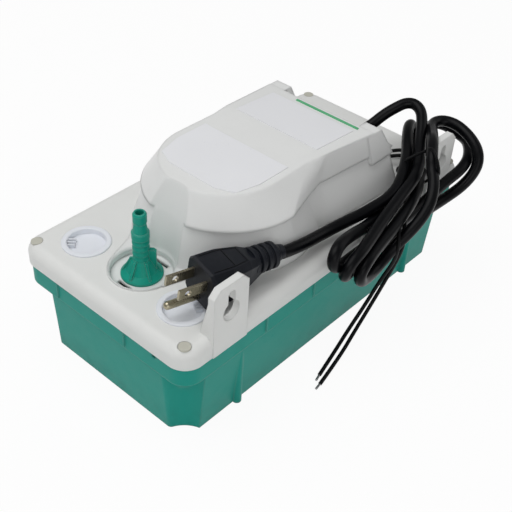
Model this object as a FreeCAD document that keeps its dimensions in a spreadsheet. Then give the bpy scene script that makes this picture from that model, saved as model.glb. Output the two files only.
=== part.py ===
import FreeCAD, Part
import math
import os
import Sketcher
from FreeCAD import Placement, Rotation, Vector

# Condensate pump: a tank with a float, a deck cover with keyhole tabs, a shaded-pole
# motor under a moulded housing, a vertical shaft down to a small centrifugal pump,
# a barbed discharge fitting with a ball check valve, two switches, leads and a cord.
# Millimetres. +X runs from the inlet end to the motor's rear end, +Z is up, and the
# origin is on the floor under the middle of the deck cover.

os.makedirs("parts", exist_ok=True)
doc = FreeCAD.newDocument("condensate_pump")
sheet = doc.addObject("Spreadsheet::Sheet", "sizes")
pieces = []
used_rows = [0]


# Sizes

class Size:
    """A size that knows its value and its formula in the sheet."""

    def __init__(self, value, formula):
        self.value = float(value)
        self.formula = formula

    def __add__(self, other):
        return Size(self.value + number(other), "(%s + %s)" % (self.formula, formula(other)))

    def __radd__(self, other):
        return self + other

    def __sub__(self, other):
        return Size(self.value - number(other), "(%s - %s)" % (self.formula, formula(other)))

    def __rsub__(self, other):
        return Size(number(other) - self.value, "(%s - %s)" % (formula(other), self.formula))

    def __mul__(self, other):
        return Size(self.value * number(other), "(%s * %s)" % (self.formula, formula(other)))

    def __rmul__(self, other):
        return self * other

    def __truediv__(self, other):
        return Size(self.value / number(other), "(%s / %s)" % (self.formula, formula(other)))

    def __neg__(self):
        return Size(-self.value, "(0 - %s)" % self.formula)


def number(item):
    return item.value if isinstance(item, Size) else float(item)


def formula(item):
    return item.formula if isinstance(item, Size) else "%.6g" % item


def size(alias, value):
    used_rows[0] += 1
    sheet.set("A%d" % used_rows[0], alias)
    sheet.set("B%d" % used_rows[0], str(value))
    sheet.setAlias("B%d" % used_rows[0], alias)
    return Size(value, "sizes." + alias)


def bind(target, path, item):
    if isinstance(item, Size):
        target.setExpression(path, item.formula)


def at(target, x=0, y=0, z=0, axis=Vector(0, 0, 1), angle=0):
    """Place an object, with its position bound to the sheet."""
    base = Vector(number(x), number(y), number(z))
    target.Placement = Placement(base, Rotation(axis, angle))
    bind(target, "Placement.Base.x", x)
    bind(target, "Placement.Base.y", y)
    bind(target, "Placement.Base.z", z)
    return target


def keep(target, label):
    target.Label = label
    pieces.append(target)
    return target


# Sketches

def new_body(name):
    return doc.addObject("PartDesign::Body", name)


def plane_of(body, role):
    for feature in body.Origin.OriginFeatures:
        if feature.Role == role:
            return feature


def new_sketch(body, name, role="XY_Plane", offset=0, shift=0):
    sketch = body.newObject("Sketcher::SketchObject", name)
    sketch.AttachmentSupport = (plane_of(body, role), [""])
    sketch.MapMode = "FlatFace"
    sketch.AttachmentOffset = Placement(Vector(number(shift), 0, number(offset)), Rotation())
    bind(sketch, "AttachmentOffset.Base.x", shift)
    bind(sketch, "AttachmentOffset.Base.z", offset)
    return sketch


def datum(sketch, kind, item, *where):
    index = sketch.addConstraint(Sketcher.Constraint(kind, *where, number(item)))
    if isinstance(item, Size):
        sketch.setExpression("Constraints[%d]" % index, item.formula)


def pin_point(sketch, edge, end, point):
    datum(sketch, "DistanceX", point[0], -1, 1, edge, end)
    datum(sketch, "DistanceY", point[1], -1, 1, edge, end)


def outline(sketch, points, arcs=None):
    """A closed profile through points. arcs maps an edge to its radius and centre."""
    arcs = arcs or {}
    flat = [Vector(number(x), number(y), 0) for x, y in points]
    first = sketch.GeometryCount
    count = len(flat)
    for index, start in enumerate(flat):
        stop = flat[(index + 1) % count]
        if index in arcs:
            radius, centre_x, centre_y = arcs[index]
            centre = Vector(number(centre_x), number(centre_y), 0)
            middle = (start + stop) * 0.5 - centre
            if middle.Length < 1e-6:
                middle = Vector(start.y - stop.y, stop.x - start.x, 0)
            turn = (start - centre).cross(stop - centre).z
            across = centre + middle.normalize() * number(radius)
            if abs(turn) < 1e-6:
                across = centre - middle * number(radius)
            sketch.addGeometry(Part.Arc(start, across, stop), False)
        else:
            sketch.addGeometry(Part.LineSegment(start, stop), False)
    for index in range(count):
        follow = first + (index + 1) % count
        edge = first + index
        curve = sketch.Geometry[edge]
        after = sketch.Geometry[follow]
        stop = flat[(index + 1) % count]
        end = 2 if curve.EndPoint.distanceToPoint(stop) < 1e-4 else 1
        begin = 1 if after.StartPoint.distanceToPoint(stop) < 1e-4 else 2
        sketch.addConstraint(Sketcher.Constraint("Coincident", edge, end, follow, begin))
    for index, point in enumerate(points):
        curve = sketch.Geometry[first + index]
        begin = 1 if curve.StartPoint.distanceToPoint(flat[index]) < 1e-4 else 2
        pin_point(sketch, first + index, begin, point)
    for index, (radius, centre_x, centre_y) in arcs.items():
        chord = flat[(index + 1) % count] - flat[index]
        if chord.Length < 2 * number(radius) - 1e-4:
            datum(sketch, "Radius", radius, first + index)
        elif abs(chord.x) > abs(chord.y):
            datum(sketch, "DistanceY", centre_y, -1, 1, first + index, 3)
        else:
            datum(sketch, "DistanceX", centre_x, -1, 1, first + index, 3)
    return sketch


def circle(sketch, x, y, radius):
    edge = sketch.GeometryCount
    centre = Vector(number(x), number(y), 0)
    sketch.addGeometry(Part.Circle(centre, Vector(0, 0, 1), number(radius)), False)
    pin_point(sketch, edge, 3, (x, y))
    datum(sketch, "Radius", radius, edge)
    return sketch


def box_outline(sketch, left, right, low, high):
    return outline(sketch, [(left, low), (right, low), (right, high), (left, high)])


def cut_outline(sketch, half_x, half_y, cut):
    """A rectangle about the origin with its corners cut at 45 degrees."""
    corners = [
        (half_x, cut - half_y),
        (half_x, half_y - cut),
        (half_x - cut, half_y),
        (cut - half_x, half_y),
        (-half_x, half_y - cut),
        (-half_x, cut - half_y),
        (cut - half_x, -half_y),
        (half_x - cut, -half_y),
    ]
    return outline(sketch, corners)


def round_outline(sketch, half_x, half_y, corner):
    """A rectangle about the origin with round corners."""
    ends = [
        (half_x, corner - half_y),
        (half_x, half_y - corner),
        (half_x - corner, half_y),
        (corner - half_x, half_y),
        (-half_x, half_y - corner),
        (-half_x, corner - half_y),
        (corner - half_x, -half_y),
        (half_x - corner, -half_y),
    ]
    arcs = {
        1: (corner, half_x - corner, half_y - corner),
        3: (corner, corner - half_x, half_y - corner),
        5: (corner, corner - half_x, corner - half_y),
        7: (corner, half_x - corner, corner - half_y),
    }
    arcs = {1: arcs[1], 3: arcs[3], 5: arcs[5], 7: arcs[7]}
    return outline(sketch, ends, arcs)


# Features

def pad(body, name, sketch, length, backward=False):
    feature = body.newObject("PartDesign::Pad", name)
    feature.Profile = sketch
    feature.Length = number(length)
    bind(feature, "Length", length)
    feature.Reversed = backward
    return feature


def pocket(body, name, sketch, length, backward=False):
    feature = body.newObject("PartDesign::Pocket", name)
    feature.Profile = sketch
    feature.Length = number(length)
    bind(feature, "Length", length)
    feature.Reversed = backward
    return feature


def turn(body, name, sketch, cutting=False):
    kind = "PartDesign::Groove" if cutting else "PartDesign::Revolution"
    feature = body.newObject(kind, name)
    feature.Profile = sketch
    feature.ReferenceAxis = (sketch, ["V_Axis"])
    feature.Angle = 360
    return feature


def loft(body, name, sketches, cutting=False):
    kind = "PartDesign::SubtractiveLoft" if cutting else "PartDesign::AdditiveLoft"
    feature = body.newObject(kind, name)
    feature.Profile = sketches[0]
    feature.Sections = sketches[1:]
    feature.Ruled = True
    return feature


def around(body, name, originals, count):
    feature = body.newObject("PartDesign::PolarPattern", name)
    feature.Originals = originals
    feature.Axis = (originals[0].Profile[0], ["N_Axis"])
    feature.Angle = 360
    feature.Occurrences = count
    body.Tip = feature
    return feature


def mirror(body, name, originals, role):
    feature = body.newObject("PartDesign::Mirrored", name)
    feature.Originals = originals
    feature.MirrorPlane = (plane_of(body, role), [""])
    body.Tip = feature
    return feature


def soften(body, name, base, radius, wanted, cutting=False):
    """Round or chamfer the edges that the wanted test picks."""
    doc.recompute()
    names = ["Edge%d" % (i + 1) for i, edge in enumerate(base.Shape.Edges) if wanted(edge)]
    kind = "PartDesign::Chamfer" if cutting else "PartDesign::Fillet"
    feature = body.newObject(kind, name)
    feature.Base = (base, names)
    if cutting:
        feature.Size = number(radius)
        bind(feature, "Size", radius)
    else:
        feature.Radius = number(radius)
        bind(feature, "Radius", radius)
    return feature


def upright_edges(edge):
    """The long upright edges that the corner flutes leave."""
    ends = [vertex.Z for vertex in edge.Vertexes]
    return min(ends) < 1.0 and max(ends) > 40.0


def level(height):
    """A test for edges that lie wholly at one height."""
    def test(edge):
        box = edge.BoundBox
        return abs(box.ZMin - number(height)) < 1e-3 and abs(box.ZMax - number(height)) < 1e-3
    return test


# Primitives

def block(name, left, right, front, back, low, high):
    target = doc.addObject("Part::Box", name)
    for prop, item in (("Length", right - left), ("Width", back - front), ("Height", high - low)):
        setattr(target, prop, number(item))
        bind(target, prop, item)
    return at(target, left, front, low)


def rod(name, x, y, z, radius, length, axis=Vector(0, 0, 1), angle=0):
    target = doc.addObject("Part::Cylinder", name)
    target.Radius = number(radius)
    target.Height = number(length)
    bind(target, "Radius", radius)
    bind(target, "Height", length)
    return at(target, x, y, z, axis, angle)


def joined(name, *items):
    target = doc.addObject("Part::MultiFuse", name)
    target.Shapes = list(items)
    return target


def less(name, base, *tools):
    target = doc.addObject("Part::Cut", name)
    target.Base = base
    target.Tool = tools[0] if len(tools) == 1 else joined(name + "_tools", *tools)
    return target


def group(name, *items):
    target = doc.addObject("Part::Compound", name)
    target.Links = list(items)
    return target


ALONG_X = (Vector(0, 1, 0), 90)
ALONG_Y = (Vector(1, 0, 0), -90)

# Deck cover and tank

deck_half_x = size("deck_half_x", 133.0)
deck_half_y = size("deck_half_y", 69.7)
deck_low = size("deck_low", 61.5)
deck_top = size("deck_top", 74.6)
deck_roll = size("deck_roll", 6.5)
deck_corner = size("deck_corner", 12.4)
deck_skin = size("deck_skin", 3.0)
tank_low_x = size("tank_low_x", 126.2)
tank_low_y = size("tank_low_y", 62.3)
tank_high_x = size("tank_high_x", 129.5)
tank_high_y = size("tank_high_y", 66.0)
tank_corner = size("tank_corner", 12.0)
tank_wall = size("tank_wall", 2.5)
tank_neck = size("tank_neck", 48.0)
rim_half_x = size("rim_half_x", 131.9)
rim_half_y = size("rim_half_y", 68.6)
flute_x = size("flute_x", 133.5)
flute_y = size("flute_y", 68.6)
flute_radius = size("flute_radius", 20.0)
inner_cut = size("inner_cut", 13.5)
screw_x = size("screw_x", 125.7)
screw_y = size("screw_y", 62.0)
screw_radius = size("screw_radius", 1.7)
screw_head = size("screw_head", 3.5)
screw_gap = size("screw_gap", 0.05)
pump_x = size("pump_x", -32.0)
fitting_x = size("fitting_x", -99.0)
cap_x = size("cap_x", -105.8)
cap_y = size("cap_y", 40.7)
rod_x = size("rod_x", 40.0)
rod_y = size("rod_y", 6.0)

tank = new_body("tank_body")
low = round_outline(new_sketch(tank, "tank_low"), tank_low_x, tank_low_y, tank_corner)
high = round_outline(new_sketch(tank, "tank_high", offset=tank_neck), tank_high_x, tank_high_y, tank_corner)
loft(tank, "tank_walls", [low, high])
flutes = new_sketch(tank, "tank_flutes", offset=-1.0)
for side_x in (-1, 1):
    for side_y in (-1, 1):
        circle(flutes, side_x * flute_x, side_y * flute_y, flute_radius)
fluting = pocket(tank, "tank_fluting", flutes, tank_neck + 1.0, True)
soften(tank, "tank_flute_round", fluting, size("flute_round", 3.0), upright_edges)
column_radius = size("column_radius", 2.9)
columns = new_sketch(tank, "tank_columns")
for place in (size("column_front_x", -83.5), size("column_rear_x", 86.6)):
    circle(columns, place, -tank_low_y - 0.5, column_radius)
    circle(columns, place, tank_low_y + 0.5, column_radius)
pad(tank, "tank_ribs", columns, tank_neck)
rim = round_outline(new_sketch(tank, "tank_rim", offset=tank_neck), rim_half_x, rim_half_y, tank_corner)
pad(tank, "tank_band", rim, deck_low - tank_neck)
floor_low = cut_outline(new_sketch(tank, "tank_floor", offset=tank_wall),
                        tank_low_x - tank_wall, tank_low_y - tank_wall, inner_cut)
floor_high = cut_outline(new_sketch(tank, "tank_mouth", offset=deck_low + 1.0),
                         tank_high_x - tank_wall, tank_high_y - tank_wall, inner_cut)
loft(tank, "tank_hollow", [floor_low, floor_high], True)
rib_low = size("rim_rib_low", 50.0)
rib_wide = size("rim_rib_wide", 1.2)
rib_proud = size("rim_rib_proud", 0.8)
end_ribs = new_sketch(tank, "end_ribs", "YZ_Plane", -rim_half_x - rib_proud)
for place in (size("end_rib_back", 37.0), size("end_rib_front", -20.6)):
    box_outline(end_ribs, place - rib_wide / 2.0, place + rib_wide / 2.0, rib_low, deck_low)
pad(tank, "end_ribs_pad", end_ribs, rib_proud + 1.0)
side_ribs = new_sketch(tank, "side_ribs", "XZ_Plane", rim_half_y - 1.0)
for place in (size("side_rib_front", -67.4), size("side_rib_middle", -25.0)):
    box_outline(side_ribs, place - rib_wide / 2.0, place + rib_wide / 2.0, rib_low, deck_low)
pad(tank, "side_ribs_pad", side_ribs, rib_proud + 1.0)
window_y = size("snap_window_y", -44.5)
window = new_sketch(tank, "snap_window", "YZ_Plane", -rim_half_x - 1.0)
box_outline(window, window_y - 1.6, window_y + 1.6, deck_low - 3.6, deck_low)
pocket(tank, "snap_window_cut", window, 4.4, True)
bosses = new_sketch(tank, "tank_screw_holes", offset=deck_low)
for side_x in (-1, 1):
    for side_y in (-1, 1):
        circle(bosses, side_x * screw_x, side_y * screw_y, screw_radius + screw_gap)
pocket(tank, "tank_threads", bosses, deck_low - tank_neck - 2.0)
keep(tank, "tank")

tab_x = size("tab_x", 99.4)
tab_half = size("tab_half", 13.2)
tab_face = size("tab_face", 70.4)
tab_thick = size("tab_thick", 4.5)
tab_top = size("tab_top", 107.0)
tab_corner = size("tab_corner", 4.5)
key_z = size("key_z", 88.0)
key_radius = size("key_radius", 6.2)
key_slot = size("key_slot", 2.7)
key_reach = size("key_reach", 11.2)
gusset_thick = size("gusset_thick", 2.2)
gusset_foot = size("gusset_foot", 60.5)
recess_radius = size("recess_radius", 3.75)
recess_deep = size("recess_deep", 1.1)
pan_outer = size("pan_outer", 19.6)
pan_gap = size("pan_gap", 0.2)
cap_skirt = size("cap_skirt", 12.3)
cap_gap = size("cap_gap", 0.3)
column_outer = size("column_outer", 11.0)
rod_radius = size("rod_radius", 1.5)
guide_gap = size("guide_gap", 0.3)

deck = new_body("deck_body")
plan = round_outline(new_sketch(deck, "deck_plan", offset=deck_low), deck_half_x, deck_half_y, deck_corner)
deck_block = pad(deck, "deck_block", plan, deck_top - deck_low)
deck_rolled = soften(deck, "deck_rolled", deck_block, deck_roll, level(deck_top))
under = cut_outline(new_sketch(deck, "deck_under", offset=deck_low),
                    deck_half_x - deck_skin, deck_half_y - deck_skin, inner_cut)
pocket(deck, "deck_hollow", under, deck_top - deck_low - deck_skin, True)
tab = new_sketch(deck, "tab_plate", "XZ_Plane", tab_face)
outline(tab, [
    (-tab_x - tab_half, deck_low),
    (-tab_x + tab_half, deck_low),
    (-tab_x + tab_half, tab_top - tab_corner),
    (-tab_x + tab_half - tab_corner, tab_top),
    (-tab_x - tab_half + tab_corner, tab_top),
    (-tab_x - tab_half, tab_top - tab_corner),
])
tab_pad = pad(deck, "tab_pad", tab, tab_thick, True)
gussets = []
for name, edge in (("gusset_a", -tab_x - tab_half), ("gusset_b", -tab_x + tab_half - gusset_thick)):
    side = new_sketch(deck, name, "YZ_Plane", edge)
    outline(side, [
        (-tab_face + 1.0, deck_top - 1.0),
        (-gusset_foot, deck_top - 1.0),
        (-gusset_foot, deck_top + 1.5),
        (-tab_face + tab_thick, tab_top - 9.0),
        (-tab_face + 1.0, tab_top - 9.0),
    ])
    gussets.append(pad(deck, name + "_pad", side, gusset_thick))
hole = circle(new_sketch(deck, "key_hole", "XZ_Plane", tab_face + 1.0), -tab_x, key_z, key_radius)
key_cut = pocket(deck, "key_cut", hole, 12.0)
slot = new_sketch(deck, "key_slot_plan", "XZ_Plane", tab_face + 1.0)
outline(slot, [
    (-tab_x + key_slot, key_z),
    (-tab_x + key_slot, key_z + key_reach),
    (-tab_x - key_slot, key_z + key_reach),
    (-tab_x - key_slot, key_z),
], {1: (key_slot, -tab_x, key_z + key_reach)})
slot_cut = pocket(deck, "key_slot_cut", slot, 12.0)
mirror(deck, "second_tab", [tab_pad] + gussets + [key_cut, slot_cut], "YZ_Plane")
recesses = new_sketch(deck, "recesses", offset=deck_top + 1.0)
passages = new_sketch(deck, "passages", offset=deck_top + 1.0)
for side_x in (-1, 1):
    for side_y in (-1, 1):
        circle(recesses, side_x * screw_x, side_y * screw_y, recess_radius)
        circle(passages, side_x * screw_x, side_y * screw_y, screw_radius + screw_gap)
circle(passages, fitting_x, 0, pan_outer + pan_gap)
for side_y in (-1, 1):
    circle(passages, cap_x, side_y * cap_y, cap_skirt + cap_gap)
    circle(passages, rod_x, side_y * rod_y, rod_radius + guide_gap)
circle(passages, pump_x, 0, column_outer - 3.0)
pocket(deck, "recess_cut", recesses, recess_deep + 1.0)
pocket(deck, "passage_cut", passages, deck_top - deck_low + 2.0)
keep(deck, "deck_cover")

screws = []
for index, (side_x, side_y) in enumerate(((-1, -1), (1, -1), (1, 1), (-1, 1))):
    shank = rod("screw_shank_%d" % index, side_x * screw_x, side_y * screw_y,
                tank_neck + 3.0, screw_radius, deck_top - recess_deep - tank_neck - 3.0)
    head = rod("screw_head_%d" % index, side_x * screw_x, side_y * screw_y,
               deck_top - recess_deep, screw_head, recess_deep - 0.1)
    screws.append(joined("screw_%d" % index, shank, head))
keep(group("screw_set", *screws), "corner_screws")

# Motor housing

top_z = size("housing_top", 120.0)
slope_start = size("slope_start", 10.0)
slope_end = size("slope_end", 80.0)
slope_low = size("slope_low", 115.4)
top_centre = size("top_centre", -32.3)
top_radius = size("top_radius", 38.7)
crease_z = size("crease_z", 101.5)
nose_centre = size("nose_centre", -29.0)
crease_radius = size("crease_radius", 51.8)
wall_radius = size("wall_radius", 49.4)
foot_radius = size("foot_radius", 57.5)
housing_wall = size("housing_wall", 2.5)
rear_foot = size("rear_foot", 75.5)
rear_top = size("rear_top", 53.5)
flute_low = size("flute_low", 19.8)
flute_mid = size("flute_mid", 24.4)
flute_high = size("flute_high", 30.2)
flute_mid_z = size("flute_mid_z", 100.0)
pan_radius = size("pan_radius", 18.4)
pan_floor = size("pan_floor", 71.0)
pan_rim = size("pan_rim", 75.6)
lobe_radius = size("lobe_radius", 20.2)
socket_outer = size("socket_outer", 10.0)
socket_bore = size("socket_bore", 7.6)
socket_low = size("socket_low", 55.0)
socket_floor = size("socket_floor", 57.0)
hose_bore = size("hose_bore", 2.5)


def nose(radius, centre, degrees):
    turned = math.radians(degrees)
    return (centre + radius * math.cos(turned), radius * math.sin(turned))


def half_ring(side):
    """Turn one side's points into a whole ring that is symmetric about the X axis."""
    other = [(x, -y) for x, y in reversed(side[1:])]
    return side + other


def top_outline(sketch, inset):
    radius = top_radius - inset
    side = [
        (top_centre - radius, 0),
        (top_centre, -radius),
        (-2.0, inset - 38.3),
        (12.0, inset - 40.0),
        (14.5, inset - 40.2),
        (rear_top - inset, inset - 42.4),
    ]
    arcs = {0: (radius, top_centre, 0), 10: (radius, top_centre, 0)}
    return outline(sketch, half_ring(side), arcs)


def crease_outline(sketch, inset):
    radius = crease_radius - inset
    side = [
        (nose_centre - radius, 0),
        nose(radius, nose_centre, 258.0),
        (nose_centre, -radius),
        (-5.5, inset - 44.4),
        (8.0, inset - 40.8),
        (rear_foot - inset, inset - 47.0),
    ]
    arcs = {0: (radius, nose_centre, 0), 1: (radius, nose_centre, 0),
            9: (radius, nose_centre, 0), 10: (radius, nose_centre, 0)}
    return outline(sketch, half_ring(side), arcs)


def foot_outline(sketch, inset):
    radius = foot_radius - inset
    side = [
        (nose_centre - radius, 0),
        nose(radius, nose_centre, 258.0),
        nose(radius, nose_centre, 272.0),
        nose(radius, nose_centre, 304.0),
        (19.6, inset - 51.1),
        (rear_foot - inset, inset - 55.2),
    ]
    arcs = {0: (radius, nose_centre, 0), 1: (radius, nose_centre, 0), 2: (radius, nose_centre, 0),
            8: (radius, nose_centre, 0), 9: (radius, nose_centre, 0), 10: (radius, nose_centre, 0)}
    return outline(sketch, half_ring(side), arcs)


wall_inset = crease_radius - wall_radius
shell = new_body("housing_outside")
foot = foot_outline(new_sketch(shell, "shell_foot", offset=deck_top), 0)
waist = crease_outline(new_sketch(shell, "shell_waist", offset=crease_z), wall_inset)
loft(shell, "shell_walls", [foot, waist])
crease = crease_outline(new_sketch(shell, "shell_crease", offset=crease_z), 0)
crown = top_outline(new_sketch(shell, "shell_crown", offset=top_z), 0)
loft(shell, "shell_band", [crease, crown])
ear_low = new_sketch(shell, "ear_low", offset=crease_z - 5.0)
box_outline(ear_low, rear_foot - 22.0, rear_foot + 0.4, -47.6, -31.0)
ear_high = new_sketch(shell, "ear_high", offset=top_z - 3.6)
box_outline(ear_high, rear_top - 3.0, rear_top + 11.5, -43.4, -31.0)
ear = loft(shell, "ear", [ear_low, ear_high])
mirror(shell, "second_ear", [ear], "XZ_Plane")
wedge = new_sketch(shell, "wedge", "XZ_Plane", 60.0)
outline(wedge, [(slope_start, top_z), (slope_end, slope_low), (slope_end, top_z + 5.0), (slope_start, top_z + 5.0)])
pocket(shell, "top_slope", wedge, 120.0)
lobe = circle(new_sketch(shell, "lobe", offset=deck_top), fitting_x, 0, lobe_radius)
pad(shell, "lobe_rim", lobe, pan_rim - deck_top)
web = new_sketch(shell, "web", offset=deck_top)
outline(web, half_ring([
    (fitting_x - 3.0, 0),
    (fitting_x - 3.0, -20.6),
    (fitting_x + 4.0, -22.8),
    (fitting_x + 12.0, -25.6),
    (fitting_x + 19.0, -30.4),
    (fitting_x + 25.0, -35.6),
]))
pad(shell, "lobe_web", web, pan_rim - deck_top)
cup = circle(new_sketch(shell, "cup", offset=pan_floor - 2.0), fitting_x, 0, pan_outer)
pad(shell, "pan_cup", cup, deck_top - pan_floor + 2.0)
socket = circle(new_sketch(shell, "socket", offset=socket_low), fitting_x, 0, socket_outer)
pad(shell, "socket_wall", socket, pan_floor - socket_low - 2.0)
flute = new_sketch(shell, "flute", "XZ_Plane", 0, fitting_x)
outline(flute, [
    (0, pan_floor),
    (pan_radius, pan_floor),
    (pan_radius, pan_rim - 1.0),
    (flute_low, pan_rim + 0.2),
    (flute_mid, flute_mid_z),
    (flute_high, top_z + 1.0),
    (0, top_z + 1.0),
])
turn(shell, "flute_cut", flute, True)
bore = circle(new_sketch(shell, "socket_bore", offset=socket_floor), fitting_x, 0, socket_bore)
pocket(shell, "socket_bore_cut", bore, pan_floor - socket_floor + 1.0, True)
spout = circle(new_sketch(shell, "socket_hole", offset=socket_low - 1.0), fitting_x, 0, hose_bore)
pocket(shell, "socket_hole_cut", spout, 4.0, True)

core = new_body("housing_inside")
core_foot = foot_outline(new_sketch(core, "core_foot", offset=deck_top - 1.0), housing_wall)
core_waist = crease_outline(new_sketch(core, "core_waist", offset=crease_z), wall_inset + housing_wall)
loft(core, "core_walls", [core_foot, core_waist])
core_crease = crease_outline(new_sketch(core, "core_crease", offset=crease_z), wall_inset + housing_wall)
core_crown = top_outline(new_sketch(core, "core_crown", offset=top_z - housing_wall), housing_wall + 0.5)
loft(core, "core_band", [core_crease, core_crown])
core_wedge = new_sketch(core, "core_wedge", "XZ_Plane", 60.0)
outline(core_wedge, [
    (slope_start - 8.0, top_z - housing_wall),
    (slope_end, slope_low - housing_wall - 0.6),
    (slope_end, top_z),
    (slope_start - 8.0, top_z),
])
pocket(core, "core_slope", core_wedge, 120.0)
core_flute = new_sketch(core, "core_flute", "XZ_Plane", 0, fitting_x)
outline(core_flute, [
    (0, pan_floor),
    (flute_low + housing_wall, pan_floor),
    (flute_mid + housing_wall, flute_mid_z),
    (flute_high + housing_wall, top_z + 1.0),
    (0, top_z + 1.0),
])
turn(core, "core_flute_cut", core_flute, True)

cord_x = size("cord_exit_x", 76.7)
cord_y = size("cord_exit_y", -10.0)
cord_z = size("cord_exit_z", 88.0)
cord_radius = size("cord_radius", 3.15)
gland_body = size("gland_body", 5.5)
gland_flange = size("gland_flange", 7.5)
lead_radius = size("lead_radius", 1.25)
lead_z = size("lead_exit_z", 80.0)
lead_y_a = size("lead_exit_a", -27.0)
lead_y_b = size("lead_exit_b", -31.5)
run_gap = size("running_gap", 0.05)

cord_port = rod("cord_port", 60.0, cord_y, cord_z, gland_body + run_gap, 30.0, *ALONG_X)
lead_port_a = rod("lead_port_a", 60.0, lead_y_a, lead_z, lead_radius + run_gap, 30.0, *ALONG_X)
lead_port_b = rod("lead_port_b", 60.0, lead_y_b, lead_z, lead_radius + run_gap, 30.0, *ALONG_X)
slot_near = size("pan_slot_near", 12.9)
slot_far = size("pan_slot_far", 15.2)
pan_slot_a = block("pan_slot_a", fitting_x - slot_far, fitting_x - slot_near, -6.2, 4.4,
                   pan_floor - 2.5, pan_floor + 1.0)
pan_slot_b = block("pan_slot_b", fitting_x + slot_near, fitting_x + slot_far, -6.8, 3.6,
                   pan_floor - 2.5, pan_floor + 1.0)
keep(less("housing_cut", shell, core, cord_port, lead_port_a, lead_port_b, pan_slot_a, pan_slot_b),
     "motor_housing")

label_thick = size("label_thick", 0.35)
front_label = new_body("front_label_body")
front = new_sketch(front_label, "front_label_plan")
front_radius = size("front_label_radius", 33.5)
outline(front, half_ring([
    (top_centre - front_radius + 6.5, 0),
    (top_centre - front_radius + 6.5, -18.0),
    (top_centre - 22.0, 4.0 - front_radius),
    (top_centre - 6.0, -front_radius),
    (-14.0, -front_radius),
]))
pad(front_label, "front_label_pad", front, label_thick)
keep(at(front_label, 0, 0, top_z), "front_label")
slope_angle = math.degrees(math.atan2(120.0 - 115.4, 70.0))
rear_label = block("rear_label_block", size("rear_label_x", 13.0), 49.0, -33.0, 33.0, 0.0, label_thick)
rear_label.Placement = Placement(Vector(12.0, -33.0, 119.87), Rotation(Vector(0, 1, 0), slope_angle))
rear_label.setExpression("Placement.Base.x", "sizes.rear_label_x")
rear_label.setExpression("Placement.Base.z",
                         "sizes.housing_top - 3 * (sizes.housing_top - sizes.slope_low) / 70")
keep(rear_label, "rear_label")
strip = block("trim_block", rear_top - 3.2, rear_top + 0.9, -30.6, 30.6, 0.0, size("trim_thick", 0.6))
strip.Placement = Placement(Vector(50.3, -30.6, 117.35), Rotation(Vector(0, 1, 0), slope_angle))
strip.setExpression("Placement.Base.x", "sizes.rear_top - 3.2")
strip.setExpression("Placement.Base.z",
                    "sizes.housing_top - 40.3 * (sizes.housing_top - sizes.slope_low) / 70")
keep(strip, "trim_strip")

# Inlet caps

cap_flange = size("cap_flange", 14.8)
cap_rise = size("cap_rise", 1.0)
cap_cup = size("cap_cup", 11.4)
cap_floor = size("cap_floor", -2.6)
for label, side_y, turned in (("inlet_cap_front", -1, 150.0), ("inlet_cap_back", 1, -48.0)):
    cap = new_body(label + "_body")
    profile = new_sketch(cap, label + "_profile", "XZ_Plane")
    outline(profile, [
        (0, cap_floor - 1.6),
        (cap_skirt - 1.8, cap_floor - 1.6),
        (cap_skirt - 1.8, -7.0),
        (cap_skirt, -7.0),
        (cap_skirt, 0),
        (cap_flange, 0),
        (cap_flange, cap_rise - 0.4),
        (cap_flange - 0.6, cap_rise),
        (cap_cup + 0.5, cap_rise),
        (cap_cup, cap_rise - 0.5),
        (cap_cup, cap_floor),
        (0, cap_floor),
    ])
    turn(cap, label + "_turned", profile)
    grip = new_sketch(cap, label + "_grip", offset=cap_floor)
    for offset in (-2.6, 0.0, 2.6):
        box_outline(grip, -cap_cup - 0.3, -cap_cup + 5.0, offset - 0.5, offset + 0.5)
    pad(cap, label + "_ribs", grip, -cap_floor - 0.2)
    keep(at(cap, cap_x, side_y * cap_y, deck_top, Vector(0, 0, 1), turned), label)

# Discharge fitting and its check valve

fitting_stub = size("fitting_stub", 7.5)
fitting_low = size("fitting_low", 58.0)
fitting_flange = size("fitting_flange", 12.4)
fitting_root = size("fitting_root", 4.35)
barb_radius = size("barb_radius", 5.0)
collar_radius = size("collar_radius", 5.2)
neck_radius = size("neck_radius", 3.5)
tip_radius = size("tip_radius", 4.05)
chamber_radius = size("chamber_radius", 4.4)
chamber_top = size("chamber_top", 74.0)
fitting_top = size("fitting_top", 114.5)
fitting = new_body("fitting_body")
profile = new_sketch(fitting, "fitting_profile", "XZ_Plane")
shape = [
    (chamber_radius, fitting_low),
    (fitting_stub, fitting_low),
    (fitting_stub, 62.4),
    (fitting_stub - 1.6, 62.4),
    (fitting_stub - 1.6, 65.0),
    (fitting_stub, 65.0),
    (fitting_stub, pan_floor + 0.1),
    (fitting_flange, pan_floor + 0.1),
    (fitting_flange, pan_floor + 1.3),
    (fitting_flange - 0.6, pan_floor + 1.9),
    (9.2, 75.0),
    (7.4, 78.2),
    (6.2, 80.8),
    (fitting_root + 0.9, 82.0),
]
for step in range(4):
    shape.append((barb_radius, 82.6 + 3.7 * step))
    shape.append((barb_radius, 83.6 + 3.7 * step))
    shape.append((fitting_root, 85.4 + 3.7 * step))
    if step < 3:
        shape.append((fitting_root, 86.0 + 3.7 * step))
shape += [
    (collar_radius - 0.5, 96.8),
    (collar_radius, 97.3),
    (collar_radius, 101.2),
    (collar_radius - 0.5, 101.7),
    (neck_radius + 0.9, 101.7),
    (neck_radius, 107.4),
    (tip_radius - 0.3, 107.7),
    (tip_radius, 108.6),
    (tip_radius, 113.4),
    (tip_radius - 0.7, fitting_top),
    (hose_bore, fitting_top),
    (hose_bore, chamber_top + 1.9),
    (chamber_radius, chamber_top),
]
outline(profile, shape)
turn(fitting, "fitting_turned", profile)
wing = new_sketch(fitting, "wing_plan", "XZ_Plane")
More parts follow.
